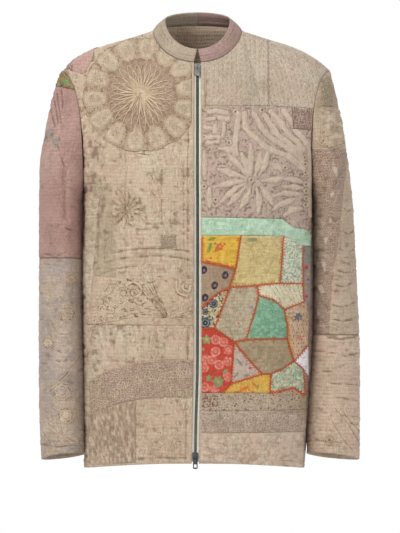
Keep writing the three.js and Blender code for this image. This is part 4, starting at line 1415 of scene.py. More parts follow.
def makeTape(side, material):
    sign = sides[side]
    at, out = zipLine(2.4, 10, -900)
    across = np.linspace(zipper["tapeIn"], zipper["tapeEdge"], 8)
    grid = at[:, None] + np.array([1.0, 0, 0]) * (sign * across)[None, :, None]
    tuck = np.where(across > body["zipHalfGap"], 0.5 + (across - body["zipHalfGap"]) * 0.12, 0)
    grid = grid - out[:, None] * (zipper["tapeDepth"] + tuck)[None, :, None]
    ways = np.repeat(out[:, None], len(across), axis=1)
    relief = -0.15 * np.abs(np.sin(across * 2.4))[None, :] + 0 * grid[..., 0]
    uv = stack(across[None, :] + 0 * grid[..., 0], grid[..., 2])
    made = wallObject(f"zip_tape_{side}.cloth", grid, ways, zipper["tapeCloth"], relief, uv, {}, material)
    declareSheet(made, *flatSize(grid), "stretched")
    finishPiece(made, "zip_tape_" + side)


def makeTeeth(side, material):
    # each tooth is a small stamped block with a rounded head, and the two rows lock into each other
    sign = sides[side]
    at, out = zipLine(zipper["toothGap"] / 2, zipper["top"], zipper["bottom"])
    start = 0 if sign > 0 else 1
    at, out = at[start::2], out[start::2]
    high, deep = zipper["toothHigh"] / 2, zipper["toothDeep"]
    head, root = zipper["toothIn"], zipper["toothOut"]
    half = [(root, high), (0.8, high), (0.2, high * 1.25), (head, high * 0.8)]
    profile = half + [(a, -b) for a, b in half[::-1]]
    around = len(profile)
    points, faces = [], []
    middle = zipper["tapeDepth"] + zipper["tapeCloth"] / 2
    for place, way in zip(at, out):
        down = np.cross(way, (1, 0, 0))
        base = len(points)
        for level, shrink in ((deep, 0.78), (deep * 0.7, 1.0), (-deep * 0.7, 1.0), (-deep, 0.78)):
            for a, b in profile:
                a = mix(1.1, a, shrink)
                points.append(place + (sign * a, 0, 0) + down * b * shrink + way * (level - middle))
        for ringStart in range(base, base + 3 * around, around):
            for k in range(around):
                a, b = ringStart + k, ringStart + (k + 1) % around
                faces.append([a, b, b + around, a + around])
        faces.append([base + k for k in range(around)][::-1])
        faces.append([base + 3 * around + k for k in range(around)])
    if sign > 0:
        faces = [f[::-1] for f in faces]
    made = makeObject(f"zip_chain_{side}.teeth", np.array(points), faces, material)
    finishPiece(made, "zip_chain_" + side)


tapeCloth = clothMaterial(
    "tapeCloth", color=(238, 236, 222), faded=(246, 244, 232), stain=(216, 210, 192), staining=0.25,
    groove=(218, 214, 200), stitched=0.0, threads=2600, specks=0.15, slub=0.3,
)
toothMetal = metalMaterial("toothMetal", (84, 92, 86), (132, 138, 130), 0.34)
brightMetal = metalMaterial("brightMetal", (146, 150, 148), (196, 198, 198), 0.24)
darkMetal = metalMaterial("darkMetal", (82, 84, 86), (120, 122, 122), 0.3)
for side in sides:
    makeTape(side, tapeCloth)
    makeTeeth(side, toothMetal)
for name, metal in (("top", brightMetal), ("bottom", darkMetal)):
    for part in ("zip_slider_", "zip_pull_"):
        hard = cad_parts[part + name]
        rounding = hard.modifiers.new("softEdges", "BEVEL")
        rounding.width = 0.25 * mm
        rounding.segments = 2
        rounding.limit_method = "ANGLE"
        hard.data.materials.clear()
        hard.data.materials.append(metal)
print("collar and zip made")


# Patches on the left front, with the corners that neighbours share, as (x, z)

corners = {
    "cutTop": (6.8, -136), "laceTop": (160, -133), "laceSide": (189, -139), "laceLow": (192, -172),
    "laceIn": (161, -170), "mintA": (6.8, -320), "mintB": (142, -322), "mintC": (162, -337),
    "mintD": (181, -338), "mintE": (193, -348), "mintF": (192, -368), "lowA": (6.8, -350),
    "lowB": (72.5, -350), "lowC": (144, -351), "lowD": (166, -358), "lowE": (177, -367),
    "yellowLow": (6.8, -394), "yellowIn": (64, -406), "khakiRight": (138, -430), "khakiLeft": (54, -437),
    "stripLow": (177, -431), "brownIn": (34, -447), "brownLow": (6.8, -471), "rosetteLow": (7, -506),
    "rosetteIn": (28, -505), "rosetteUp": (34, -490), "sageTop": (100, -433.4), "sageRight": (102, -450),
    "sageSide": (96, -477), "sageLow": (81, -524), "sageEnd": (61, -528), "creamRight": (179, -462),
    "creamLow": (145, -474), "creamIn": (128, -458), "greenSide": (151, -505), "greenLow": (150, -523),
    "manyTop": (189, -483), "manyLow": (187, -535), "manyEnd": (162, -561), "oliveA": (140, -575),
    "oliveB": (123, -582), "oliveC": (108, -582), "oliveD": (84, -556), "redLow": (56, -598),
    "redEnd": (42, -613), "redSide": (7, -613.5), "yellowEnd": (121, -614), "mintSide": (178, -575),
    "mintEnd": (181, -619), "forkIn": (161, -606.5), "scrapLow": (188, -588), "darkLow": (191, -462),
    "bandRight": (184.5, -643), "bandLeft": (6.5, -643), "laceRight": (183, -680), "laceLeft": (6, -680),
    "hemA": (4, -727), "hemB": (60, -732), "hemC": (120, -738), "hemD": (178, -741),
}


def outlineOf(names):
    return [corners[name] for name in names.split()]


cutwork = {
    # ridges of turned-in cloth as their middle lines, then how wide they are at the start, middle and end
    "petals": [
        [(89, -252), (88.5, -224), (89, -198)], [(96, -252), (102, -230), (105, -212)],
        [(101, -253), (112, -232), (117, -211)], [(108, -260), (124, -257), (141, -254)],
        [(105, -268), (116, -283), (126, -300)], [(98, -270), (102, -292), (101, -313)],
        [(88, -270), (82, -287), (70, -306)], [(81, -268), (67, -283), (51, -300)],
        [(78, -264), (58, -276), (41, -294)], [(81, -259), (56, -263), (29, -269)],
        [(82, -255), (62, -248), (34, -240)], [(84, -252), (69, -233), (52, -215)],
        [(86, -250), (79, -230), (74, -214)],
    ],
    "petalWidth": (2.0, 6.0, 2.0),
    "fans": [
        [(68.5, -146), (67, -165), (63, -192), (62, -207), (64, -214)],
        [(79, -146), (79, -165), (87, -178), (102, -192), (117, -204), (132, -210), (148, -216),
         (163, -225), (177, -238)],
        [(94.5, -146), (105, -166), (117, -181), (132, -193), (149, -202.5), (163, -211.5), (176, -225)],
        [(111, -147), (125, -167.5), (137, -184), (153.5, -196), (169, -208.5), (174, -216)],
        [(123.5, -142), (137, -157), (149, -175), (164, -190), (178, -206)],
        [(144, -141), (157, -156), (166, -170)],
        [(163, -174), (176, -185), (186, -201), (189, -225), (189, -316)],
    ],
    "fanWidth": 5.0,
    "leaves": [
        [(146, -256), (160, -257), (175, -260)], [(142, -268), (158, -268), (176, -269)],
        [(126, -284), (144, -279), (161, -280), (175, -281)], [(125, -308), (138, -298), (162, -289)],
        [(145, -317), (157, -307), (173, -304)], [(122, -228), (130, -234), (140, -240)],
        [(37, -205.5), (50, -207), (62, -209)], [(20, -271), (20, -301)], [(11.5, -210), (12, -256)],
    ],
    "leafWidth": (2.8, 5.4, 2.6),
    "blocks": [
        [(20, -143), (34, -142), (48, -145)], [(14, -156), (28, -155)], [(36, -153), (50, -156)],
        [(30, -166), (29, -178)], [(13, -170), (22, -172)], [(45, -164), (43, -184)],
        [(14, -187), (36, -186)], [(18, -196), (34, -194)],
    ],
    "blockWidth": 4.0,
    "eyelets": [(179.4, -217.7), (180.5, -229.8), (181, -243.5), (181.6, -263.2), (182, -274.6),
                (182, -286.7), (181, -298.1), (63.3, -143.3), (52.7, -195.7), (11.5, -186.6),
                (11.3, -268.5), (108, -139.6), (146.2, -236.3), (30, -291), (89.4, -257.6)],
    "eyelet": 3.4,
}


def taper(x, z, points, widths):
    # a ridge that swells in the middle and comes to a point at each end
    line = walk(curve(points), 3.0)
    t = np.linspace(0, 1, len(line))
    wide = np.interp(t, (0, 0.55, 1), widths)
    return joined([stroke(x, z, pair, half) for pair, half in zip(zip(line, line[1:]), wide)])


def paintCutwork(x, z):
    ridges = joined(
        [taper(x, z, points, cutwork["petalWidth"]) for points in cutwork["petals"]]
        + [taper(x, z, points, cutwork["leafWidth"]) for points in cutwork["leaves"]]
        + [stroke(x, z, curve(points), cutwork["fanWidth"]) for points in cutwork["fans"]]
        + [stroke(x, z, points, cutwork["blockWidth"]) for points in cutwork["blocks"]]
    )
    ridges += 1.2 * wobble(x, z, 7, 104) + 0.5 * wobble(x, z, 3.2, 106)
    holes = joined([spot(x, z, at, 1.5) for at in cutwork["eyelets"]])
    rims = joined([ring(x, z, at, cutwork["eyelet"], 1.3) for at in cutwork["eyelets"]])
    ground = 0.9 * wobble(x, z, 3.4, 101) + 0.4 * wobble(x, z, 9, 102) - 0.8
    top = 1.9 + 0.5 * wobble(x, z, 6, 103)
    relief = mix(ground, top, raised(ridges + 0.8, 3.2))
    relief = np.maximum(relief, 1.5 * raised(rims, 1.2)) - 2.0 * raised(holes, 1.2)
    # ink1: painted shade, a dark line along the ridges' edges
    fold = 0.45 + 0.7 * wobble(x, z, 6, 107) - np.abs(ridges + 0.6)
    specks = np.where(ridges < -1.2, 2.0 * wobble(x, z, 2.6, 105) - 0.7, -9.0)
    return {"relief": relief, "ink1": fold, "ink2": holes,
            "ink3": ridges - 1.0 + 1.2 * wobble(x, z, 4, 108),
            "ink4": np.maximum(specks, 0.5 - np.abs(rims + 0.5)), "ink5": rims}


def paintRipples(seed, size, amount, slant=0.0, stretch=(1.0, 1.0)):
    def paint(x, z):
        u, v = (x + z * slant) * stretch[0], z * stretch[1]
        relief = amount * (wobble(u, v, size, seed) + 0.5 * wobble(u, v, size / 2, seed + 1))
        return {"relief": relief}
    return paint


def paintSpots(motifs, seed, amount=0.7):
    # motifs is a list of ink layers, each a list of functions of x and z
    def paint(x, z):
        marks = {"relief": amount * (0.7 * wobble(x, z, 6, seed) + 0.6 * wobble(x, z, 3.4, seed + 1))}
        for k, layer in enumerate(motifs):
            marks[f"ink{k + 1}"] = joined([shape(x, z) for shape in layer])
        return marks
    return paint


def disc(at, size, squeeze=1.0, tilt=0.0):
    return lambda x, z: spot(x, z, at, size, squeeze, tilt)


def flower(at, size, petals, depth=0.35, turn=0.3):
    return lambda x, z: blossom(x, z, at, size, petals, depth, turn)


def hoop(at, size, width):
    return lambda x, z: ring(x, z, at, size, width)


def line(points, width):
    return lambda x, z: stroke(x, z, points, width)


def leafAt(at, long, angle, width=0.3):
    ends = [(at[0] - long / 2 * math.cos(angle), at[1] - long / 2 * math.sin(angle)), at,
            (at[0] + long / 2 * math.cos(angle), at[1] + long / 2 * math.sin(angle))]
    return lambda x, z: stroke(x, z, ends, long * width) - 0.12 * np.hypot(x - at[0], z - at[1])


def scattered(outline, gap, seed, make):
    pick = np.random.RandomState(seed + 500)
    return [make(at, pick.uniform(0, 1)) for at in scatter(outline, gap, seed)]


def dashRows(kind):
    # short upright dashes of one colour among four, in loose rows
    dashesOf = []
    for row in range(12):
        for k in range(9):
            if (3 * row + 5 * k) % 4 == kind:
                x, z = 152 + 4.2 * k + 1.5 * (row % 2), -480 - 6.2 * row
                dashesOf.append(line([(x, z), (x + 0.4, z - 3.4)], 0.75))
    return dashesOf


brown = outlineOf("yellowLow yellowIn khakiLeft brownIn brownLow")
rosettes = outlineOf("brownLow brownIn khakiLeft rosetteUp rosetteIn rosetteLow")
mintStrip = outlineOf("lowC lowD lowE stripLow khakiRight")
manyFlowers = outlineOf("creamLow creamRight manyTop manyLow manyEnd greenLow greenSide")
redCurls = outlineOf("rosetteLow rosetteIn sageEnd redLow redEnd redSide")
mintFlowers = outlineOf("oliveB oliveA manyEnd mintSide mintEnd forkIn yellowEnd")
darkStrip = outlineOf("lowE mintF darkLow creamRight stripLow")
crochet = outlineOf("redSide redEnd yellowEnd forkIn mintEnd bandRight bandLeft")
brownDots = [(10.5, -408), (46, -416.5), (28.5, -433.5), (12.5, -454)]
redRoses = [(43, -528), (30, -544), (13, -556), (36, -566), (51, -541), (11, -571), (50, -586), (12, -603),
            (24, -558), (28, -607), (50, -560), (30, -524)]

leftPatches = {
    "mauve_lace_piece": {
        "outline": outlineOf("laceTop laceSide laceLow laceIn"), "slot": "mauve_cloth",
        "paint": paintSpots([scattered(outlineOf("laceTop laceSide laceLow laceIn"), 6, 5,
                                       lambda at, q: disc(at, 0.8 + q)),
                             [flower((172, -151), 8, 6)]], 111, 0.7),
        "look": {"color": (170, 142, 130), "faded": (186, 162, 148),
                 "inks": [(136, 84, 76), (196, 176, 158)], "net": 0.7, "netHole": (122, 98, 90),
                 "netSize": 0.004, "stitched": 0.0, "ragged": 3.0},
    },
    "cutwork_panel": {
        "outline": outlineOf("cutTop laceTop laceIn laceLow mintE mintD mintC mintB mintA"),
        "slot": "cutwork_cloth",
        "paint": paintCutwork,
        "look": {"color": (187, 167, 150), "faded": (192, 173, 157), "groove": (150, 128, 112),
                 "crest": (212, 194, 174), "stitched": 0.0, "crested": 0.3, "specks": 0.5, "ragged": 1.4,
                 "blush": (196, 168, 158), "blushed": 0.6, "netSize": 0.0034,
                 # the first ink is painted shade along the ridges' edges
                 "inks": [(142, 119, 101), (66, 54, 46), (202, 182, 162), (144, 122, 106), (208, 191, 170)]},
    },
    "mint_band": {
        "outline": outlineOf("mintA mintB mintC mintD mintE mintF lowE lowD lowC lowB lowA"),
        "slot": "mint_cloth",
        "paint": paintRipples(121, 5, 1.3, 0.5),
        "look": {"color": (180, 212, 184), "faded": (198, 222, 196), "stain": (164, 196, 168),
                 "groove": (138, 172, 144), "crest": (212, 231, 208), "stitched": 0.1, "rowGap": 0.008,
                 "thread": (138, 168, 140), "speck": (138, 166, 138), "specks": 0.25, "staining": 0.3,
                 "crinkled": 0.8},
    },
    "dark_print_strip": {
        "outline": darkStrip, "slot": "dark_print_cloth",
        "paint": paintSpots([[line([(178, -366), (192, -366), (186, -388)], 7)],
                             [disc((182, -403.5), 3.6), disc((185, -424), 2.2), disc((183, -452), 2.5)],
                             [disc((186, -414), 2.6), disc((181, -436), 2.2)]], 131),
        "look": {"color": (150, 138, 134), "faded": (166, 154, 150), "specks": 0.6, "stitched": 0.2,
                 "inks": [(140, 148, 142), (176, 62, 58), (196, 170, 88)]},
    },
    "patch_yellow_flowers": {
        "outline": outlineOf("lowA lowB yellowIn yellowLow"), "slot": "yellow_cloth",
        "paint": paintSpots([
            [flower((37, -369), 7, 6, 0.14), flower((66, -357), 4, 5),
             line([(14, -392), (30, -396), (58, -403)], 1.3),
             disc((26, -357), 1.8), disc((31, -375), 2.6), disc((45, -365), 2.2), disc((22, -388), 2.2)],
            [leafAt((20, -371), 13, 1.2, 0.26), leafAt((24, -356), 12, 0.3, 0.2), disc((29, -364), 2.2)],
            [flower((37, -369), 3.4, 6, 0.25), disc((66, -357), 1.8), disc((50, -398), 1.8)]], 141, 1.1),
        "look": {"color": (222, 176, 62), "faded": (230, 192, 92), "stain": (210, 146, 58),
                 "groove": (172, 124, 44), "crest": (236, 204, 118), "stitched": 0.15,
                 "inks": [(204, 102, 52), (128, 146, 62), (222, 142, 84)], "ragged": 2.2},
    },
    "patch_khaki": {
        "outline": outlineOf("lowB lowC khakiRight sageTop khakiLeft yellowIn"), "slot": "khaki_cloth",
        "paint": paintSpots([[disc((91, -357.5), 8.5, 0.45, 0.1)],
                             [line([(122, -356), (134, -368), (136, -380)], 0.4),
                              line([(96, -372), (112, -388)], 0.3),
                              line([(76, -384), (92, -396), (112, -398)], 0.3),
                              line([(66, -410), (84, -420)], 0.3),
                              line([(98, -408), (118, -418), (134, -416)], 0.3)]], 151, 1.2),
        "look": {"color": (208, 185, 124), "faded": (218, 198, 144), "stain": (188, 160, 102),
                 "inks": [(150, 150, 112), (166, 142, 100)], "rowGap": 0.0052, "stitched": 0.2,
                 "thread": (160, 134, 88), "groove": (158, 130, 82), "crest": (222, 202, 150)},
    },
    "patch_mint_strip": {
        "outline": mintStrip, "slot": "flower_cloth",
        "paint": paintSpots([
            scattered(mintStrip, 6.5, 7, lambda at, q: leafAt(at, 5 + 3 * q, 6 * q, 0.2)),
            scattered(mintStrip, 15, 8, lambda at, q: flower(at, 2.6 + q, 5)),
            scattered(mintStrip, 9, 9, lambda at, q: leafAt(at, 3.5, 9 * q, 0.16))], 161),
        "look": {"color": (214, 212, 186), "faded": (224, 221, 200), "stitched": 0.1,
                 "inks": [(152, 188, 160), (212, 168, 146), (108, 142, 120)], "ragged": 3.0},
    },
    "patch_brown_dots": {
        "outline": brown, "slot": "brown_cloth",
        "paint": paintSpots([[disc(at, 5.6, 1.25, -0.35) for at in brownDots],
                             [disc((x + 0.6, z - 0.4), 2.0, 1.2) for x, z in brownDots]], 171),
        "look": {"color": (166, 139, 114), "faded": (176, 151, 126), "stain": (148, 122, 100),
                 "inks": [(44, 34, 54), (140, 122, 128)], "stitched": 0.15, "ragged": 0.8},
    },
    "patch_rosettes": {
        "outline": rosettes, "slot": "dark_print_cloth",
        "paint": paintSpots([
            scattered(rosettes, 4.4, 31, lambda at, q: disc(at, 1.4 + 0.9 * q, 1.2, 3 * q)),
            [disc((13, -496), 9), disc((27, -464), 7.5), disc((13, -478), 5)],
            [hoop((13, -496), 5.4, 0.9), hoop((27, -464), 4.6, 0.8), disc((13, -496), 1.6),
             disc((27, -464), 1.4),
             hoop((13, -478), 3, 0.7), hoop((13, -496), 8.4, 0.4), hoop((27, -464), 7, 0.4)],
            [disc((37, -463), 3), disc((44, -448), 2.2), disc((24, -482), 2.6), disc((33, -474), 2.4)]],
            181, 0.9),
        "look": {"color": (70, 64, 58), "faded": (84, 77, 70), "stain": (60, 54, 50),
                 "inks": [(206, 194, 158), (48, 44, 46), (138, 148, 158), (222, 182, 116)],
                 "stitched": 0.0, "ragged": 1.3, "groove": (52, 46, 42)},
    },
    "patch_sage": {
        "outline": outlineOf("khakiLeft sageTop sageRight sageSide sageLow sageEnd rosetteIn rosetteUp"),
        "slot": "sage_cloth",
        "paint": paintSpots([[disc((68.4, -497), 2.2), disc((70, -503), 1.6), disc((71, -444.5), 1.8)],
                             [disc((90, -470), 3.4)]], 191, 1.2),
        "look": {"color": (184, 169, 141), "faded": (194, 181, 154), "stain": (170, 158, 132),
                 "inks": [(188, 110, 104), (160, 150, 156)], "stitched": 0.25, "rowGap": 0.0055},
    },
    "patch_cream_stripes": {
        "outline": outlineOf("sageTop khakiRight stripLow creamRight creamLow creamIn sageRight"),
        "slot": "cream_cloth",
        "paint": paintSpots([[line([(118 + 8.2 * k, -431 - 0.3 * k), (140 + 5.6 * k, -462 + 0.9 * k)],
                                   0.45)
                              for k in range(8)],
                             [line([(104, -440), (128, -448), (146, -466)], 0.4)]], 201, 0.45),
        "look": {"color": (216, 206, 172), "faded": (226, 218, 188),
                 "inks": [(120, 108, 82), (176, 160, 126)], "stitched": 0.1},
    },
    "patch_green": {
        "outline": outlineOf("sageRight creamIn creamLow greenSide greenLow sageLow sageSide"),
        "slot": "green_cloth",
        "paint": paintSpots([[line([(104, -462), (112, -468)], 0.5), line([(120, -470), (126, -480)], 0.5),
                              line([(112, -488), (122, -494)], 0.5), line([(134, -498), (142, -508)], 0.5),
                              line([(98, -500), (108, -506)], 0.5), line([(126, -512), (138, -516)], 0.5)]],
                            211, 1.6),
        "look": {"color": (126, 172, 140), "faded": (142, 184, 152), "stain": (110, 156, 124),
                 "groove": (74, 120, 94), "crest": (160, 200, 168), "inks": [(70, 114, 92)],
                 "stitched": 0.2, "thread": (70, 116, 92)},
    },
    "patch_many_flowers": {
        "outline": manyFlowers, "slot": "flower_cloth",
        "paint": paintSpots([
            [flower((168.4, -487), 8.5, 7, 0.3), *dashRows(0)],
            [flower((171, -521), 6.5, 6, 0.3), flower((178, -470), 4, 5), *dashRows(1)],
            dashRows(2), [line([(151, -486), (152, -506), (156, -530), (160, -548)], 1.6), *dashRows(3)]],
            221, 1.0),
        "look": {"color": (208, 176, 146), "faded": (214, 188, 158), "stitched": 0.1,
                 "inks": [(78, 100, 122), (206, 122, 106), (86, 112, 84), (222, 170, 92)], "ragged": 1.4},
    },
    "patch_olive": {
        "outline": outlineOf("sageEnd sageLow greenLow manyEnd oliveA oliveB oliveC oliveD"),
        "slot": "olive_cloth",
        "paint": paintRipples(231, 5.5, 1.1),
        "look": {"color": (165, 145, 114), "faded": (178, 158, 127), "stain": (140, 121, 93),
                 "staining": 0.4, "stitched": 0.15, "specks": 0.6, "groove": (124, 106, 80),
                 "crest": (188, 169, 139)},
    },
    "patch_red_curls": {
        "outline": redCurls, "slot": "red_cloth",
        "paint": paintSpots([
            [flower(at, 7.6, 6, 0.12, at[0]) for at in redRoses],
            [hoop(at, 4.6 - 1.6 * math.sin(at[0]), 0.55) for at in redRoses]
            + [hoop(at, 1.6, 0.6) for at in redRoses]
            + [hoop(at, 7.4, 0.5) for at in redRoses],
            [flower((15, -524), 8.5, 5, 0.2), flower((34.5, -594), 9.5, 7, 0.12),
             flower((19, -588), 6, 5, 0.2),
             leafAt((46, -577), 8, 0.8), flower((9, -540), 3.4, 5)],
            [disc((34.5, -594), 2.4), disc((15.5, -523.5), 2.6), flower((56, -545), 3, 5)]], 241),
        "look": {"color": (194, 62, 48), "faded": (202, 80, 60), "stain": (160, 52, 44),
                 "groove": (138, 44, 38), "crest": (222, 118, 96), "stitched": 0.1, "crested": 0.3,
                 "inks": [(212, 106, 92), (230, 156, 134), (132, 158, 106), (206, 170, 100)],
                 "ragged": 1.2},
    },
    "patch_mauve_triangle": {
        "outline": outlineOf("sageEnd oliveD oliveC redLow"), "slot": "mauve_cloth",
        "paint": paintSpots([[flower((88, -572), 4, 6), flower((70, -541), 3.2, 5), disc((96, -577), 1.4),
                              line([(64, -532), (76, -548)], 0.8), disc((82, -565), 1.2)],
                             [leafAt((70, -562), 12, 2.2, 0.2), leafAt((64, -584), 10, 1.0, 0.2),
                              leafAt((82, -584), 9, 0.2, 0.2)]], 251),
        "look": {"color": (190, 168, 152), "faded": (200, 181, 166), "stitched": 0.1,
                 "inks": [(182, 84, 96), (148, 144, 122)], "ragged": 1.8},
    },
    "patch_yellow_leaves": {
        "outline": outlineOf("redLow oliveC oliveB yellowEnd redEnd"), "slot": "yellow_cloth",
        "paint": paintSpots([[leafAt((77, -607), 16, 0.5, 0.2), leafAt((96, -600), 12, 2.4, 0.2),
                              disc((92, -612), 2.6), leafAt((66, -612), 10, 0.1, 0.24),
                              flower((72, -600), 3.4, 5),
                              flower((86, -608), 3, 5)],
                             [leafAt((101, -604), 7, 1.2, 0.25)]], 261),
        "look": {"color": (212, 164, 62), "faded": (222, 182, 88), "stain": (196, 136, 52),
                 "groove": (170, 120, 44), "inks": [(214, 118, 58), (146, 150, 78)], "stitched": 0.15,
                 "ragged": 2.2},
    },
    "patch_mint_flowers": {
        "outline": mintFlowers, "slot": "flower_cloth",
        "paint": paintSpots([
            scattered(mintFlowers, 10, 15, lambda at, q: flower(at, 4 + 2 * q, 4, 0.25)),
            scattered(mintFlowers, 13, 16, lambda at, q: flower(at, 2.6 + 2 * q, 4)),
            scattered(mintFlowers, 7, 17, lambda at, q: leafAt(at, 5 + 3 * q, 8 * q, 0.15))], 271, 1.1),
        "look": {"color": (180, 202, 176), "faded": (194, 212, 188), "stitched": 0.1,
                 "inks": [(222, 212, 176), (216, 164, 142), (122, 168, 146)], "ragged": 2.6},
    },
    "patch_white_scrap": {
        "outline": outlineOf("manyEnd manyLow scrapLow mintSide"), "slot": "white_cloth",
        # two thin bluish marks: painted shade of small folds in the white cloth
        "paint": paintSpots([[leafAt((178, -556), 8, 0.8, 0.12), leafAt((182, -572), 8, 1.6, 0.12)]], 281,
                            0.8),
        "look": {"color": (240, 238, 243), "faded": (246, 245, 248), "stain": (222, 218, 220),
                 "groove": (186, 182, 188), "crest": (250, 249, 252), "inks": [(176, 180, 204)],
                 "stitched": 0.0},
    },
    "crochet_band": {
        "outline": crochet, "slot": "lace_cloth",
        "paint": paintSpots([
            scattered(crochet, 6.4, 21, lambda at, q: disc(at, 0.5 + 1.1 * q)) +
            scattered([(7, -616), (34, -616), (34, -640), (7, -640)], 4.2, 22,
                      lambda at, q: disc(at, 1.3)),
            scattered(crochet, 13, 23, lambda at, q: disc(at, 1.2 + 1.6 * q, 0.7)),
            scattered(crochet, 15, 24, lambda at, q: disc(at, 1.0 + 1.4 * q, 0.7))], 291, 0.7),
        "look": {"color": (200, 178, 155), "faded": (207, 187, 165), "net": 0.4, "netSize": 0.0036,
                 "inks": [(112, 66, 54), (196, 168, 92), (140, 142, 128)], "stitched": 0.0, "specks": 0.6,
                 "ragged": 1.6},
    },
    "lace_hem_band": {
        "outline": outlineOf("bandLeft bandRight laceRight laceLeft"), "slot": "lace_cloth",
        "paint": paintSpots([[disc((24 + 27 * k, -654 - 2 * math.sin(k)), 7 + math.sin(3 * k), 0.6)
                              for k in range(6)]], 301, 1.2),
        "look": {"color": (196, 173, 153), "faded": (203, 182, 163), "net": 0.55, "netSize": 0.0042,
                 "netHole": (146, 121, 104), "inks": [(208, 190, 170)], "stitched": 0.0, "specks": 0.6},
    },
    "hem_band_left": {
        "outline": outlineOf("laceLeft laceRight hemD hemC hemB hemA"), "slot": "beige_cloth",
        "paint": paintSpots([[line(curve([(10, -702), (30, -708), (56, -722), (74, -728)]), 0.5),
                              line(curve([(14, -694), (34, -696), (50, -702)]), 0.5),
                              line(curve([(66, -700), (84, -706), (96, -716)]), 0.4),
                              line(curve([(8, -716), (24, -722), (40, -730)]), 0.4),
                              line(curve([(110, -706), (132, -712), (150, -722)]), 0.3),
                              line(curve([(120, -696), (146, -700), (166, -708)]), 0.3)]], 311, 1.3),
        "look": {"color": (203, 184, 161), "faded": (211, 194, 173), "stitched": 0.12, "blushed": 0.4,
                 "inks": [(142, 119, 101)], "rowGap": 0.009},
    },
}


# Lace and bands on the right front, and the patches at the sleeve heads

medallion = {
    "at": (-94, -111), "radius": 101, "edge": -9, "corners": 84, "scallops": 14, "loops": 26,
    "motifs": 14, "motifAt": 79, "motifHigh": 20, "motifWide": 13.5, "motifSpread": 0.15, "netHalf": 3.2,
}


def neckLine(x):
    # height of the neckline in front over a place on the right side
    inner = body["zipHalfGap"]
    turn = np.arcsin(np.clip((-np.asarray(x, float) - inner) / (body["neckHalfWidth"] - inner), 0, 1))
    return neckPoint(-1, turn)[..., 2]


def fromMiddle(out, aside, turn):
    # places that far out along a ray from the medallion's middle, and that far to its side
    x, z = medallion["at"]
    across, up = math.cos(turn), math.sin(turn)
    return np.column_stack([x + out * across - aside * up, z + out * up + aside * across])


def medallionOutline():
    turns = (np.arange(medallion["corners"]) + 0.5) / medallion["corners"] * 2 * math.pi
    wide = medallion["radius"] - 3.5 * np.abs(np.sin(turns * medallion["scallops"] / 2))
    x = np.minimum(medallion["at"][0] + wide * np.cos(turns), medallion["edge"] + 0.5 * np.sin(turns))
    z = medallion["at"][1] + wide * np.sin(turns)
    return list(zip(x.tolist(), np.minimum(z, neckLine(x) - 1.2).tolist()))


def motifTurns():
    return [2 * math.pi * (k + 0.25) / medallion["motifs"] for k in range(medallion["motifs"])]


def motifPath(turn, size):
    # one tongue-shaped motif, broader at its outer end
    a = np.linspace(0, 2 * math.pi, 48)
    up = medallion["motifHigh"] * size * np.sign(np.sin(a)) * np.abs(np.sin(a)) ** 0.8
    half = medallion["motifWide"] * size + medallion["motifSpread"] * up
    aside = half * np.sign(np.cos(a)) * np.abs(np.cos(a)) ** 0.8
    return fromMiddle(medallion["motifAt"] + up, aside + 0.5 * np.sin(9 * a), turn)


def paintMedallion(x, z):
    a, b = x - medallion["at"][0], z - medallion["at"][1]
    away, angle = np.hypot(a, b), np.arctan2(b, a)
    solid = np.full(x.shape, -20.0)
    for turn in motifTurns():
        out = a * math.cos(turn) + b * math.sin(turn) - medallion["motifAt"]
        aside = b * math.cos(turn) - a * math.sin(turn)
        half = medallion["motifWide"] + medallion["motifSpread"] * out
        share = (np.abs(aside / half) ** 2.5 + np.abs(out / medallion["motifHigh"]) ** 2.5) ** 0.4
        solid = np.maximum(solid, (1 - share) * medallion["motifWide"])
    below = 10 * np.maximum(-np.sin(angle), 0) ** 3
    inner = 60 + below - away
    relief = 0.5 * wobble(x, z, 4.5, 321) + 1.1 * raised(solid, 3) - 0.5 * raised(inner, 3)
    relief += (0.9 * wobble(x, z, 3.2, 322) - 0.6) * raised(solid - 6, 2)
    # ink3: painted shade in the open gaps outside the motifs and between the loops, more of it below the
    # middle, together with the small holes
    gaps = np.where(away > 54 + below, 2.2 * wobble(x, z, 3.1, 323) - 0.5, -9)
    between = np.where(inner > 0, 1.8 * wobble(x, z, 3, 325) - 0.9 - 0.7 * np.sin(angle), -9)
    holes = [spot(x, z, fromMiddle(np.array([59.0]), np.array([0.0]), math.radians(turn))[0], size, 0.7)
             for turn, size in ((76, 3.4), (93, 4.2), (108, 3.0), (30, 2.4), (16, 2.6), (-20, 2.6),
                                (150, 2.0))]
    return {"relief": relief, "ink1": np.minimum(inner, -solid),
            "ink2": np.minimum(solid - 1.0, 6 - solid + 5 * wobble(x, z, 3.4, 324)),
            "ink3": np.maximum(np.where(solid < 0, np.maximum(gaps, between), -9), joined(holes))}


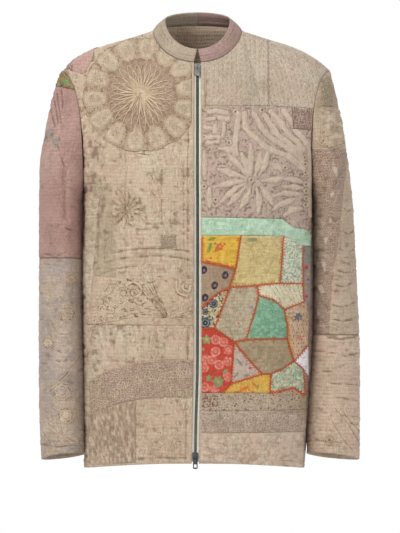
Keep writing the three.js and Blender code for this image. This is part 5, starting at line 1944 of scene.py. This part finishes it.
embroidery = {
    "rings": [(-176.5, -509), (-170, -504), (-161.5, -498), (-172.6, -495), (-160.2, -487),
              (-149.8, -484.6), (-137.4, -484.6), (-161.5, -473), (-149.2, -469.6), (-142.6, -475.5),
              (-136.8, -467.7), (-139.4, -446.9), (-147.2, -454.7), (-125.1, -433.8), (-114.7, -439.7),
              (-123.8, -446.9), (-119.9, -451.4), (-105.6, -445.6), (-170.6, -482), (-128, -460),
              (-152, -462)],
    "flower": (-105.6, -446.9),
    "scrolls": [
        [(-118, -434), (-108, -428), (-96, -434), (-94, -446), (-104, -452), (-110, -444)],
        [(-34, -426), (-35, -438), (-30, -447), (-17, -452)],
        [(-24, -431), (-23, -440), (-14, -443), (-12, -434)], [(-104, -458), (-96, -464), (-86, -458)],
    ],
    "fan": [[(-96 + 4.6 * k, -436 + 1.6 * k), (-54 + 0.4 * k, -484)] for k in range(6)] + [
        [(-52, -484), (-30, -475), (-9, -466)], [(-52, -485), (-30, -484), (-9, -478)],
        [(-52, -486), (-30, -489), (-9, -491)], [(-168, -497), (-100, -484), (-54, -486)],
        [(-128, -488), (-90, -480), (-54, -484)], [(-120, -476), (-90, -470), (-62, -474)],
        [(-130, -428), (-146, -444), (-160, -464)], [(-148, -428), (-158, -446), (-168, -470)]],
}


def paintEmbroidered(x, z):
    relief = crumple(x, z, 381, 1.1)
    # ink1 (dark) holds the slits and painted shade round the raised rings, flower, scrolls and fan; ink2
    # (pale) is a painted highlight on the rings and scrolls
    dark, pale = slitMarks(x, z) + 0.2, blank(x)
    for k, at in enumerate(embroidery["rings"]):
        size = 3.0 + 0.9 * math.sin(2.3 * k)
        rim = ring(x, z, at, size, 1.1)
        relief += 1.2 * raised(rim, 1.0) - 0.9 * raised(spot(x, z, at, size - 1.2), 1.2)
        dark = np.maximum(dark, 0.7 * wobble(x, z, 3, 383) + np.minimum(0.4 - np.abs(rim + 0.3), 0.4))
        pale = np.maximum(pale, rim - 0.3)
    bloom = blossom(x, z, embroidery["flower"], 14, 11, 0.1)
    relief += 0.9 * wobble(x, z, 4, 382) * raised(bloom, 2)
    dark = np.maximum(dark, 0.3 + 1.1 * wobble(x, z, 3.4, 384) - np.abs(bloom + 0.3))
    for each in embroidery["scrolls"]:
        away = awayFrom(x, z, curve(each))
        relief += 1.2 * swell(away, 0, 2.2) - 0.7 * swell(away, 3.2, 1.2)
        dark = np.maximum(dark, 0.35 + 0.6 * wobble(x, z, 4, 385) - np.abs(away - 2.8))
        pale = np.maximum(pale, 0.9 - away)
    for each in embroidery["fan"]:
        away = awayFrom(x, z, each)
        relief += 0.8 * swell(away, 0, 1.3) - 0.5 * swell(away, 2.2, 1.0)
        dark = np.maximum(dark, 0.25 + 0.7 * wobble(x, z, 4, 386) - np.abs(away - 1.8))
    return {"relief": relief, "ink1": dark, "ink2": pale}


slantOvals = [((-126, -600), 12, 0.5), ((-100, -593), 7.5, 1.0), ((-74, -590), 11, 0.55),
              ((-48, -586), 8, 1.2), ((-21, -582), 12, 0.5), ((-68, -628), 7, 1.3), ((-30, -622), 8, 1.2),
              ((-140, -618), 7, 0.7)]
rightPatches = {
    "lace_medallion": {
        "outline": medallionOutline(), "slot": "lace_cloth", "paint": paintMedallion,
        "look": {"color": (196, 174, 147), "faded": (206, 186, 158), "net": 0.45, "netSize": 0.0034,
                 "netHole": (156, 132, 108), "stitched": 0.0, "groove": (150, 124, 102), "crested": 0.4,
                 # the third ink is painted shade in the gaps, with the small holes
                 "inks": [(192, 164, 144), (205, 185, 157), (160, 134, 111)], "specks": 0.5,
                 "grooveShading": 0.6},
    },
    "shoulder_patch": {
        "outline": [(-173, -12), (-177, -50), (-190, -75), (-199, -76), (-214, -69), (-226, -60),
                    (-226, -25)],
        "slot": "pink_cloth", "paint": paintRipples(331, 6, 0.4),
        "look": {"color": (190, 152, 142), "faded": (202, 168, 156), "groove": (146, 110, 102),
                 "stitched": 0.4, "thread": (140, 106, 98)},
    },
    "dotted_side_strip": {
        "outline": [(-187, -285), (-165, -287), (-169, -317), (-173, -381), (-176, -418), (-186, -500),
                    (-190, -420), (-190, -320)],
        "slot": "beige_cloth", "paint": paintRipples(341, 5.5, 1.3),
        "look": {"color": (200, 181, 157), "faded": (210, 193, 170), "stain": (178, 158, 138),
                 "stitched": 0.1, "crested": 0.4},
    },
    "embroidered_band": {
        "outline": [(-7, -422), (-100, -425), (-174, -418), (-186, -500), (-7, -501)],
        "slot": "beige_cloth",
        "paint": paintEmbroidered,
        "look": {"color": (196, 174, 146), "faded": (206, 186, 158), "stitched": 0.1, "blushed": 0.4,
                 # first ink: the slits and painted shade beside the raised work; second: a painted highlight
                 # on it
                 "inks": [(118, 95, 75), (212, 194, 166)], "specks": 0.45, "groove": (124, 102, 80),
                 "crest": (216, 198, 170)},
    },
    "mesh_square": {
        "outline": [(-62, -350), (-35, -349), (-35, -371), (-61, -372)], "slot": "lace_cloth",
        "paint": paintRipples(351, 3.4, 0.6),
        "look": {"color": (186, 166, 140), "faded": (196, 178, 152), "net": 0.9, "netSize": 0.003,
                 "stitched": 0.0},
    },
    "lace_slant_band": {
        "outline": [(-184, -596), (-156, -578), (-100, -561), (-45, -556), (-7, -557), (-8, -620),
                    (-82, -622), (-102, -625.5), (-128, -630), (-180, -650)],
        "slot": "lace_cloth",
        "paint": paintSpots([[disc(at, size, squeeze, 0.2) for at, size, squeeze in slantOvals]], 361,
                            0.9),
        "look": {"color": (196, 173, 148), "faded": (202, 181, 156), "stain": (180, 154, 142),
                 "blush": (196, 166, 152), "blushed": 0.6, "net": 0.75, "netSize": 0.0042,
                 "netHole": (146, 121, 101), "inks": [(208, 189, 163)], "stitched": 0.0, "specks": 0.7,
                 "ragged": 2.0},
    },
    "ruched_panel": {
        "outline": [(-184, -650), (-128, -630), (-102, -625.5), (-103, -730), (-183, -737)],
        "slot": "beige_cloth",
        "paint": paintRipples(371, 7, 2.0, 0.1, (3.2, 0.8)),
        "look": {"color": (170, 148, 123), "faded": (188, 167, 142), "groove": (104, 84, 66),
                 "stitched": 0.0, "specks": 0.6, "grooveShading": 0.9, "blushed": 0.3, "ragged": 3.0},
    },
}



sleevePatches = {
    "sleeve_print_patch": {
        "side": "right", "slot": "olive_cloth",
        "outline": [(-232, -60), (-214, -92), (-203.5, -103), (-215, -101.5), (-240, -95), (-250, -92),
                    (-250, -60)],
        "paint": paintSpots([[leafAt((-221, -86), 12, 1.2, 0.34), disc((-212, -97), 3.4),
                              disc((-236, -92), 3)],
                             [line([(-236, -66), (-224, -82), (-211, -90)], 1.0),
                              leafAt((-219, -98), 12, 0.1, 0.16),
                              leafAt((-234, -80), 10, 0.5, 0.2), line([(-209, -92), (-206, -101)], 0.8)],
                             [leafAt((-228, -94), 9, 0.4, 0.2), disc((-243, -88), 2.4),
                              disc((-228, -72), 2)]], 391, 1.2),
        "look": {"color": (142, 130, 84), "faded": (156, 144, 100),
                 "inks": [(118, 152, 92), (156, 84, 44), (118, 140, 128)], "stitched": 0.1,
                 "groove": (84, 76, 48), "ragged": 2.0},
    },
    "green_lace_patch": {
        "side": "left", "slot": "lace_cloth",
        "outline": [(217, -80), (226, -79), (231, -100), (231, -131), (208, -131), (210, -105)],
        "paint": paintRipples(401, 4, 0.7),
        "look": {"color": (178, 162, 132), "faded": (190, 174, 146), "net": 0.7, "netSize": 0.0036,
                 "netHole": (124, 110, 82), "stitched": 0.0, "specks": 1.0, "ragged": 3.0},
    },
    "bird_patch": {
        "side": "left", "slot": "beige_cloth",
        "outline": [(208, -131), (231, -131), (246, -136), (252, -160), (252, -196), (229, -205),
                    (206, -198)],
        "paint": paintSpots([[line(curve([(208, -146), (220, -138), (232, -142), (246, -140)]), 0.3),
                              line(curve([(210, -178), (222, -166), (234, -168), (250, -158)]), 0.35),
                              line(curve([(207, -192), (226, -201), (250, -192)]), 0.5),
                              disc((212, -190), 1.6),
                              line(curve([(218, -184), (228, -180), (244, -186)]), 0.35),
                              disc((228, -186), 0.9),
                              line(curve([(240, -150), (247, -158), (243, -168)]), 0.4)],
                             [leafAt((224, -150), 20, 0.7, 0.2), leafAt((236, -158), 18, -0.5, 0.22),
                              leafAt((220, -170), 15, 1.9, 0.2), leafAt((236, -182), 20, 0.2, 0.16),
                              leafAt((216, -140), 14, -0.3, 0.18)]], 411, 1.4),
        "look": {"color": (190, 168, 143), "faded": (198, 178, 153),
                 "inks": [(112, 92, 74), (208, 189, 163)], "stitched": 0.1, "specks": 0.7, "ragged": 2.4},
    },
}


def makePatch(name, spec, surface, backing):
    cloth = clothMaterial(name + "_cloth", **spec["look"])
    made = patchObject(name + ".cloth", spec["outline"], surface, cloth, spec["paint"], backing)
    finishPiece(made, name)


for name, spec in leftPatches.items():
    makePatch(name, spec, surfaces["left"], "front_left")
print("left patches made")
for name, spec in rightPatches.items():
    makePatch(name, spec, surfaces["right"], "front_right")
for name, spec in sleevePatches.items():
    makePatch(name, spec, sleeveSurface[spec["side"]], f"sleeve_{spec['side']}_upper")
print("right and sleeve patches made")


# Cords, knots and rows of hand stitches
yarns = {
    "rust": threadMaterial("rustYarn", (222, 112, 62), (192, 82, 48)),
    "lace": threadMaterial("laceYarn", (222, 203, 176), (192, 168, 140)),
    "pale": threadMaterial("paleYarn", (212, 192, 165), (180, 155, 128)),
    "dark": threadMaterial("darkYarn", (120, 98, 80), (84, 66, 54)),
    "hem": threadMaterial("hemYarn", (176, 132, 106), (128, 98, 80)),
}
feather = {"sway": 0.9, "every": 2.5, "barb": 3.5, "thick": 0.7, "zipEdge": 8}
plainBorders = ["lowA lowB", "lowB lowC", "lowC lowD", "lowD lowE", "redSide redEnd", "redEnd yellowEnd",
                "manyTop manyLow", "creamRight manyTop"]
stitchedToo = [
    [(121, -614), (142, -610), (161, -606.5)], [(161, -606.5), (170, -612), (181, -622)],
    [(161, -606.5), (160, -617)], [(8, -352), (8, -392)],
]


def crazyBorders():
    # each border between two scraps once
    seen, borders = {frozenset(outlineOf(pair)) for pair in plainBorders}, []
    for name, spec in leftPatches.items():
        if not name.startswith("patch_"):
            continue
        outline = spec["outline"]
        for a, b in zip(outline, outline[1:] + outline[:1]):
            key = frozenset((a, b))
            onZip = a[0] < feather["zipEdge"] and b[0] < feather["zipEdge"]
            if key in seen or onZip or "scrap" in name:
                continue
            seen.add(key)
            borders.append((a, b))
    return borders


def featherStitches():
    paths = []
    extra = [pair for path in stitchedToo for pair in zip(path, path[1:])]
    for k, (a, b) in enumerate(crazyBorders() + extra):
        stops = walk([a, b], feather["every"] / 2)
        ahead = np.subtract(b, a) / math.dist(a, b)
        aside = np.array([-ahead[1], ahead[0]])
        sway = feather["sway"] * np.sin(np.arange(len(stops)) * math.pi / 2)
        line = stops + aside * sway[:, None]
        paths.append(line)
        for n in range(1, len(line) - 1, 2):
            turn = aside * (1 if n % 4 == 1 else -1)
            reachOut = feather["barb"] * (1 + 0.2 * math.sin(n * 2.7 + k))
            paths.append([line[n], line[n] + (turn * 0.8 + ahead * 0.45) * reachOut * 0.55,
                          line[n] + (turn * 0.85 + ahead * 0.6) * reachOut])
    return paths


tubesObject("feather_stitches.rust", laidOn(surfaces["left"], featherStitches(), 1.35), yarns["rust"],
            feather["thick"])


def loopPath(at, angle, inner, outer, wide, steps=11):
    # one narrow looped petal of cord, pointed at the tip
    t = np.linspace(0, 1, steps)
    half = wide * np.sin(t * math.pi) ** 0.8 * (0.35 + 0.65 * t)
    out = inner + (outer - inner) * t
    away, back = np.column_stack([out, half]), np.column_stack([out, -half])[::-1]
    both = np.append(away, back, axis=0)
    turn = np.array([[math.cos(angle), math.sin(angle)], [-math.sin(angle), math.cos(angle)]])
    return both @ turn + np.array(at)


def clipped(path):
    # the runs of a path that stay clear of the zip and the collar
    keep = (path[:, 0] < medallion["edge"] - 1.5) & (path[:, 1] < neckLine(path[:, 0]) - 3)
    runs = np.split(np.arange(len(path)), np.flatnonzero(np.diff(keep.astype(int))) + 1)
    return [path[run] for run in runs if keep[run[0]] and len(run) > 3]


def medallionCords():
    paths, loops = [], medallion["loops"]
    for k in range(loops):
        a = 2 * math.pi * (k + 0.5) / loops
        long = 54 + 3 * math.sin(5.1 * k) + 16 * max(-math.sin(a + 0.25), 0) ** 3
        paths.append(loopPath(medallion["at"], a + 0.06 * math.sin(7 * k), 1, long, 7.4, 13))
        paths.append(loopPath(medallion["at"], a + math.pi / loops, 10, 40 + 3 * math.sin(3 * k), 3.6, 9))
    return paths


def medallionNet():
    # outlines of the motifs, and zigzags that join each to the next
    paths, step = [], math.pi / medallion["motifs"]
    for turn in motifTurns():
        paths.append(motifPath(turn, 0.97))
        out = np.arange(61, 99, 2.6)
        sway = medallion["netHalf"] * np.where(np.arange(len(out)) % 2, 1, -1)
        paths.append(fromMiddle(out, sway, turn + step))
    return [run for path in paths for run in clipped(path)]


def medallionEdge():
    inside = [(x + (medallion["at"][0] - x) * 0.012, z + (medallion["at"][1] - z) * 0.012)
              for x, z in medallionOutline()]
    line = walk(inside + inside[:1], 1.5)
    line += 0.9 * np.sin(np.arange(len(line)) * 1.57)[:, None] * (0.5, 1)
    return clipped(line)


tubesObject("lace_medallion.cords", laidOn(surfaces["right"], medallionCords(), 1.9), yarns["lace"],
            0.75)
tubesObject("lace_medallion.edging", laidOn(surfaces["right"], medallionEdge() + medallionNet(), 1.5),
            yarns["pale"], 0.65)

eyeletRings = [arc(at, cutwork["eyelet"], 0, 360, 14) for at in cutwork["eyelets"]]
tubesObject("cutwork_panel.eyelets", laidOn(surfaces["left"], eyeletRings, 2.4), yarns["lace"],
            0.8)


def daisyPetals():
    look, petals = rightFront["daisy"], []
    for k in range(look["petals"]):
        angle = 2 * math.pi * (k + 0.3) / look["petals"]
        long = look["outer"] * (0.8 + 0.2 * math.sin(5 * k))
        petals.append(loopPath(look["at"], angle, look["inner"], long, 4.2, 9))
    return petals


embroideryCords = {
    "front_right.embroidery": {
        "paths": daisyPetals() + [curve(leaf) for leaf in rightFront["leaves"]] +
        [curve(sprig) for sprig in rightFront["sprigs"]],
        "lift": 0.5, "thick": 0.6},
    "embroidered_band.cords": {
        "paths": [curve(each) for each in embroidery["scrolls"]] + embroidery["fan"] +
        [spiral((-21, -438), 9, 1.6), spiral((-106, -446), 11, 1.5)],
        "lift": 1.7, "thick": 0.6},
    "embroidered_band.rings": {
        "paths": [arc(at, 3.0 + 0.9 * math.sin(2.3 * k), 0, 360, 10)
                  for k, at in enumerate(embroidery["rings"])],
        "lift": 1.8, "thick": 0.6},
    "lace_slant_band.cords": {
        "paths": [arc(at, size, 0, 360, 24, squeeze) for at, size, squeeze in slantOvals] +
        [[(x, z - 0.6) for x, z in walk([(-181, -597), (-156, -580), (-100, -563), (-45, -558),
                                         (-9, -559)], 2)]],
        "lift": 1.7, "thick": 0.45},
}
for name, look in embroideryCords.items():
    tubesObject(name, laidOn(surfaces["right"], look["paths"], look["lift"]), yarns["pale"],
                look["thick"])


def tornThreads():
    # loose ends of torn cloth along the slits
    pick, paths = np.random.RandomState(61), []
    for torn in rightFront["slits"][:rightFront["torn"]]:
        for x, z in walk(curve(torn), 2.4):
            lean, long = pick.uniform(-2.6, -0.5), pick.uniform(2, 5)
            bow = pick.uniform(-1.2, 1.2)
            x, z = x + pick.uniform(-1, 1), z + pick.uniform(-1.0, 1.5)
            paths.append([(x, z), (x + long / 2 * math.cos(lean) + bow, z + long / 2 * math.sin(lean)),
                          (x + long * math.cos(lean), z + long * math.sin(lean) - 1)])
    return paths


tubesObject("front_right.frays", laidOn(surfaces["right"], tornThreads(), 1.5), yarns["pale"],
            0.3, 3)


def sleeveCords(side):
    paths = []
    for at, size in sleeveMarks[side]["rosettes"]:
        for share, waves in ((0.35, 5), (0.68, 7), (1.0, 9)):
            t = np.linspace(0, 2 * math.pi, 30)
            wide = size * share * (1 + 0.09 * np.sin(waves * t))
            paths.append(np.column_stack([at[0] + wide * np.cos(t), at[1] + wide * np.sin(t)]))
    return paths + [curve(vine) for vine in sleeveMarks[side]["vines"]]


for side in sides:
    tubesObject(f"sleeve_{side}_lower.cords", laidOn(sleeveSurface[side], sleeveCords(side), 0.8),
                yarns["pale"], 0.8)
print("cords and feather stitches laid")


# Rows of topstitching that hold the edges
topstitch = {
    "thick": 0.38, "lift": 0.4, "hem": 1.978, "front": 0.022, "cuff": 1.93,
    "yoke": [(8, -131.5), (60, -132.5), (110, -131), (184, -134)],
}


def onBody(side, face, s, r):
    # places just above the body's cloth and the ways out there
    s, r = np.broadcast_arrays(np.asarray(s, float), np.asarray(r, float))
    step = 0.004
    at = bodyPoint(side, face, s, r)
    across = bodyPoint(side, face, s + step, r) - bodyPoint(side, face, s - step, r)
    down = bodyPoint(side, face, s, r + step) - bodyPoint(side, face, s, r - step)
    way = unit(np.cross(across, down))
    way *= np.sign(np.sum(way * at * (1, 1, 0), axis=1, keepdims=True))
    return at + way * topstitch["lift"], way


def stitchRow(at, way, long=2.6, gap=1.5):
    length = pathLengths(at)
    rows = []
    for start in np.arange(0, length[-1] - long, long + gap):
        stops = np.array([start, start + long / 2, start + long])
        rows.append(tuple(np.column_stack([np.interp(stops, length, line[:, k]) for k in range(3)])
                          for line in (at, way)))
    return rows


def edgeRows():
    rows, s = [], np.linspace(0.02, 0.985, 160)
    for side in sides:
        for face in (-1, 1):
            rows += stitchRow(*onBody(side, face, s, topstitch["hem"]))
        down = np.linspace(0.02, 1.99, 260)
        rows += stitchRow(*onBody(side, -1, topstitch["front"], down))
        turn = np.linspace(0, 1, 120)
        at = sleevePoint(side, turn, topstitch["cuff"])
        way = unit((at - at.mean(axis=0)) * (1, 1, 0))
        rows += stitchRow(at + way * 0.3, way)
    return rows


tubesObject("hem_and_edge.stitches", edgeRows(), yarns["hem"], topstitch["thick"])
yokeEdge = dashes(topstitch["yoke"], 2.4, 1.3)
tubesObject("yoke.stitches", laidOn(surfaces["left"], yokeEdge, 0.5), yarns["dark"],
            topstitch["thick"])
print("topstitching made")


# Floor, room and lights
studio = {"floor": -1.43, "floorSize": 7.0, "pale": (238, 237, 235), "shade": (232, 231, 229),
          "room": 0.55, "backdrop": 1.0, "aim": (0, 0, -0.38)}
lamps = {
    "key": {"at": (-1.9, -2.0, 2.3), "size": 1.3, "power": 86, "color": (1.0, 0.985, 0.96)},
    "fill": {"at": (2.4, -2.9, 0.4), "size": 2.4, "power": 34, "color": (0.98, 0.985, 1.0)},
    "back": {"at": (0.8, 3.0, 1.4), "size": 2.4, "power": 46, "color": (1.0, 0.99, 0.97)},
}


def makeFloor():
    turns = 64
    rim = arc((0, 0), studio["floorSize"], steps=turns)[:-1]
    points = [(x, y, studio["floor"]) for x, y in [(0, 0), *rim]]
    mesh = bpy.data.meshes.new("floor")
    mesh.from_pydata(points, [], [(0, k + 1, (k + 1) % turns + 1) for k in range(turns)])
    material, tree, shader = newMaterial("floorPaper")
    where = node(tree, "TexCoord").outputs["Object"]
    grain = noise(tree, where, 3, 3)
    pale = blend(tree, grain, tint(*studio["pale"]), tint(*studio["shade"]))
    tree.links.new(pale, shader.inputs["Base Color"])
    shader.inputs["Roughness"].default_value = 0.9
    mesh.materials.append(material)
    floor = bpy.data.objects.new("floor", mesh)
    bpy.context.scene.collection.objects.link(floor)


def makeRoom():
    room = bpy.data.worlds.new("studio")
    bpy.context.scene.world = room
    room.use_nodes = True
    tree = room.node_tree
    soft = tree.nodes["Background"]
    soft.inputs["Color"].default_value = (1, 1, 1, 1)
    soft.inputs["Strength"].default_value = studio["room"]
    shown = node(tree, "Background", {"Color": (1, 1, 1, 1), "Strength": studio["backdrop"]})
    seen = node(tree, "LightPath").outputs["Is Camera Ray"]
    both = node(tree, "MixShader", {0: seen, 1: soft.outputs[0], 2: shown.outputs[0]})
    tree.links.new(both.outputs[0], tree.nodes["World Output"].inputs["Surface"])
    bpy.context.scene.view_settings.view_transform = "Standard"


def makeLamp(name, look):
    lamp = bpy.data.lights.new(name, "AREA")
    lamp.size, lamp.energy, lamp.color = look["size"], look["power"], look["color"]
    placed = bpy.data.objects.new(name, lamp)
    placed.location = look["at"]
    aim = Vector(studio["aim"]) - placed.location
    placed.rotation_euler = aim.to_track_quat("-Z", "Y").to_euler()
    bpy.context.scene.collection.objects.link(placed)


makeFloor()
makeRoom()
for name, look in lamps.items():
    makeLamp(name, look)
print("studio lit")
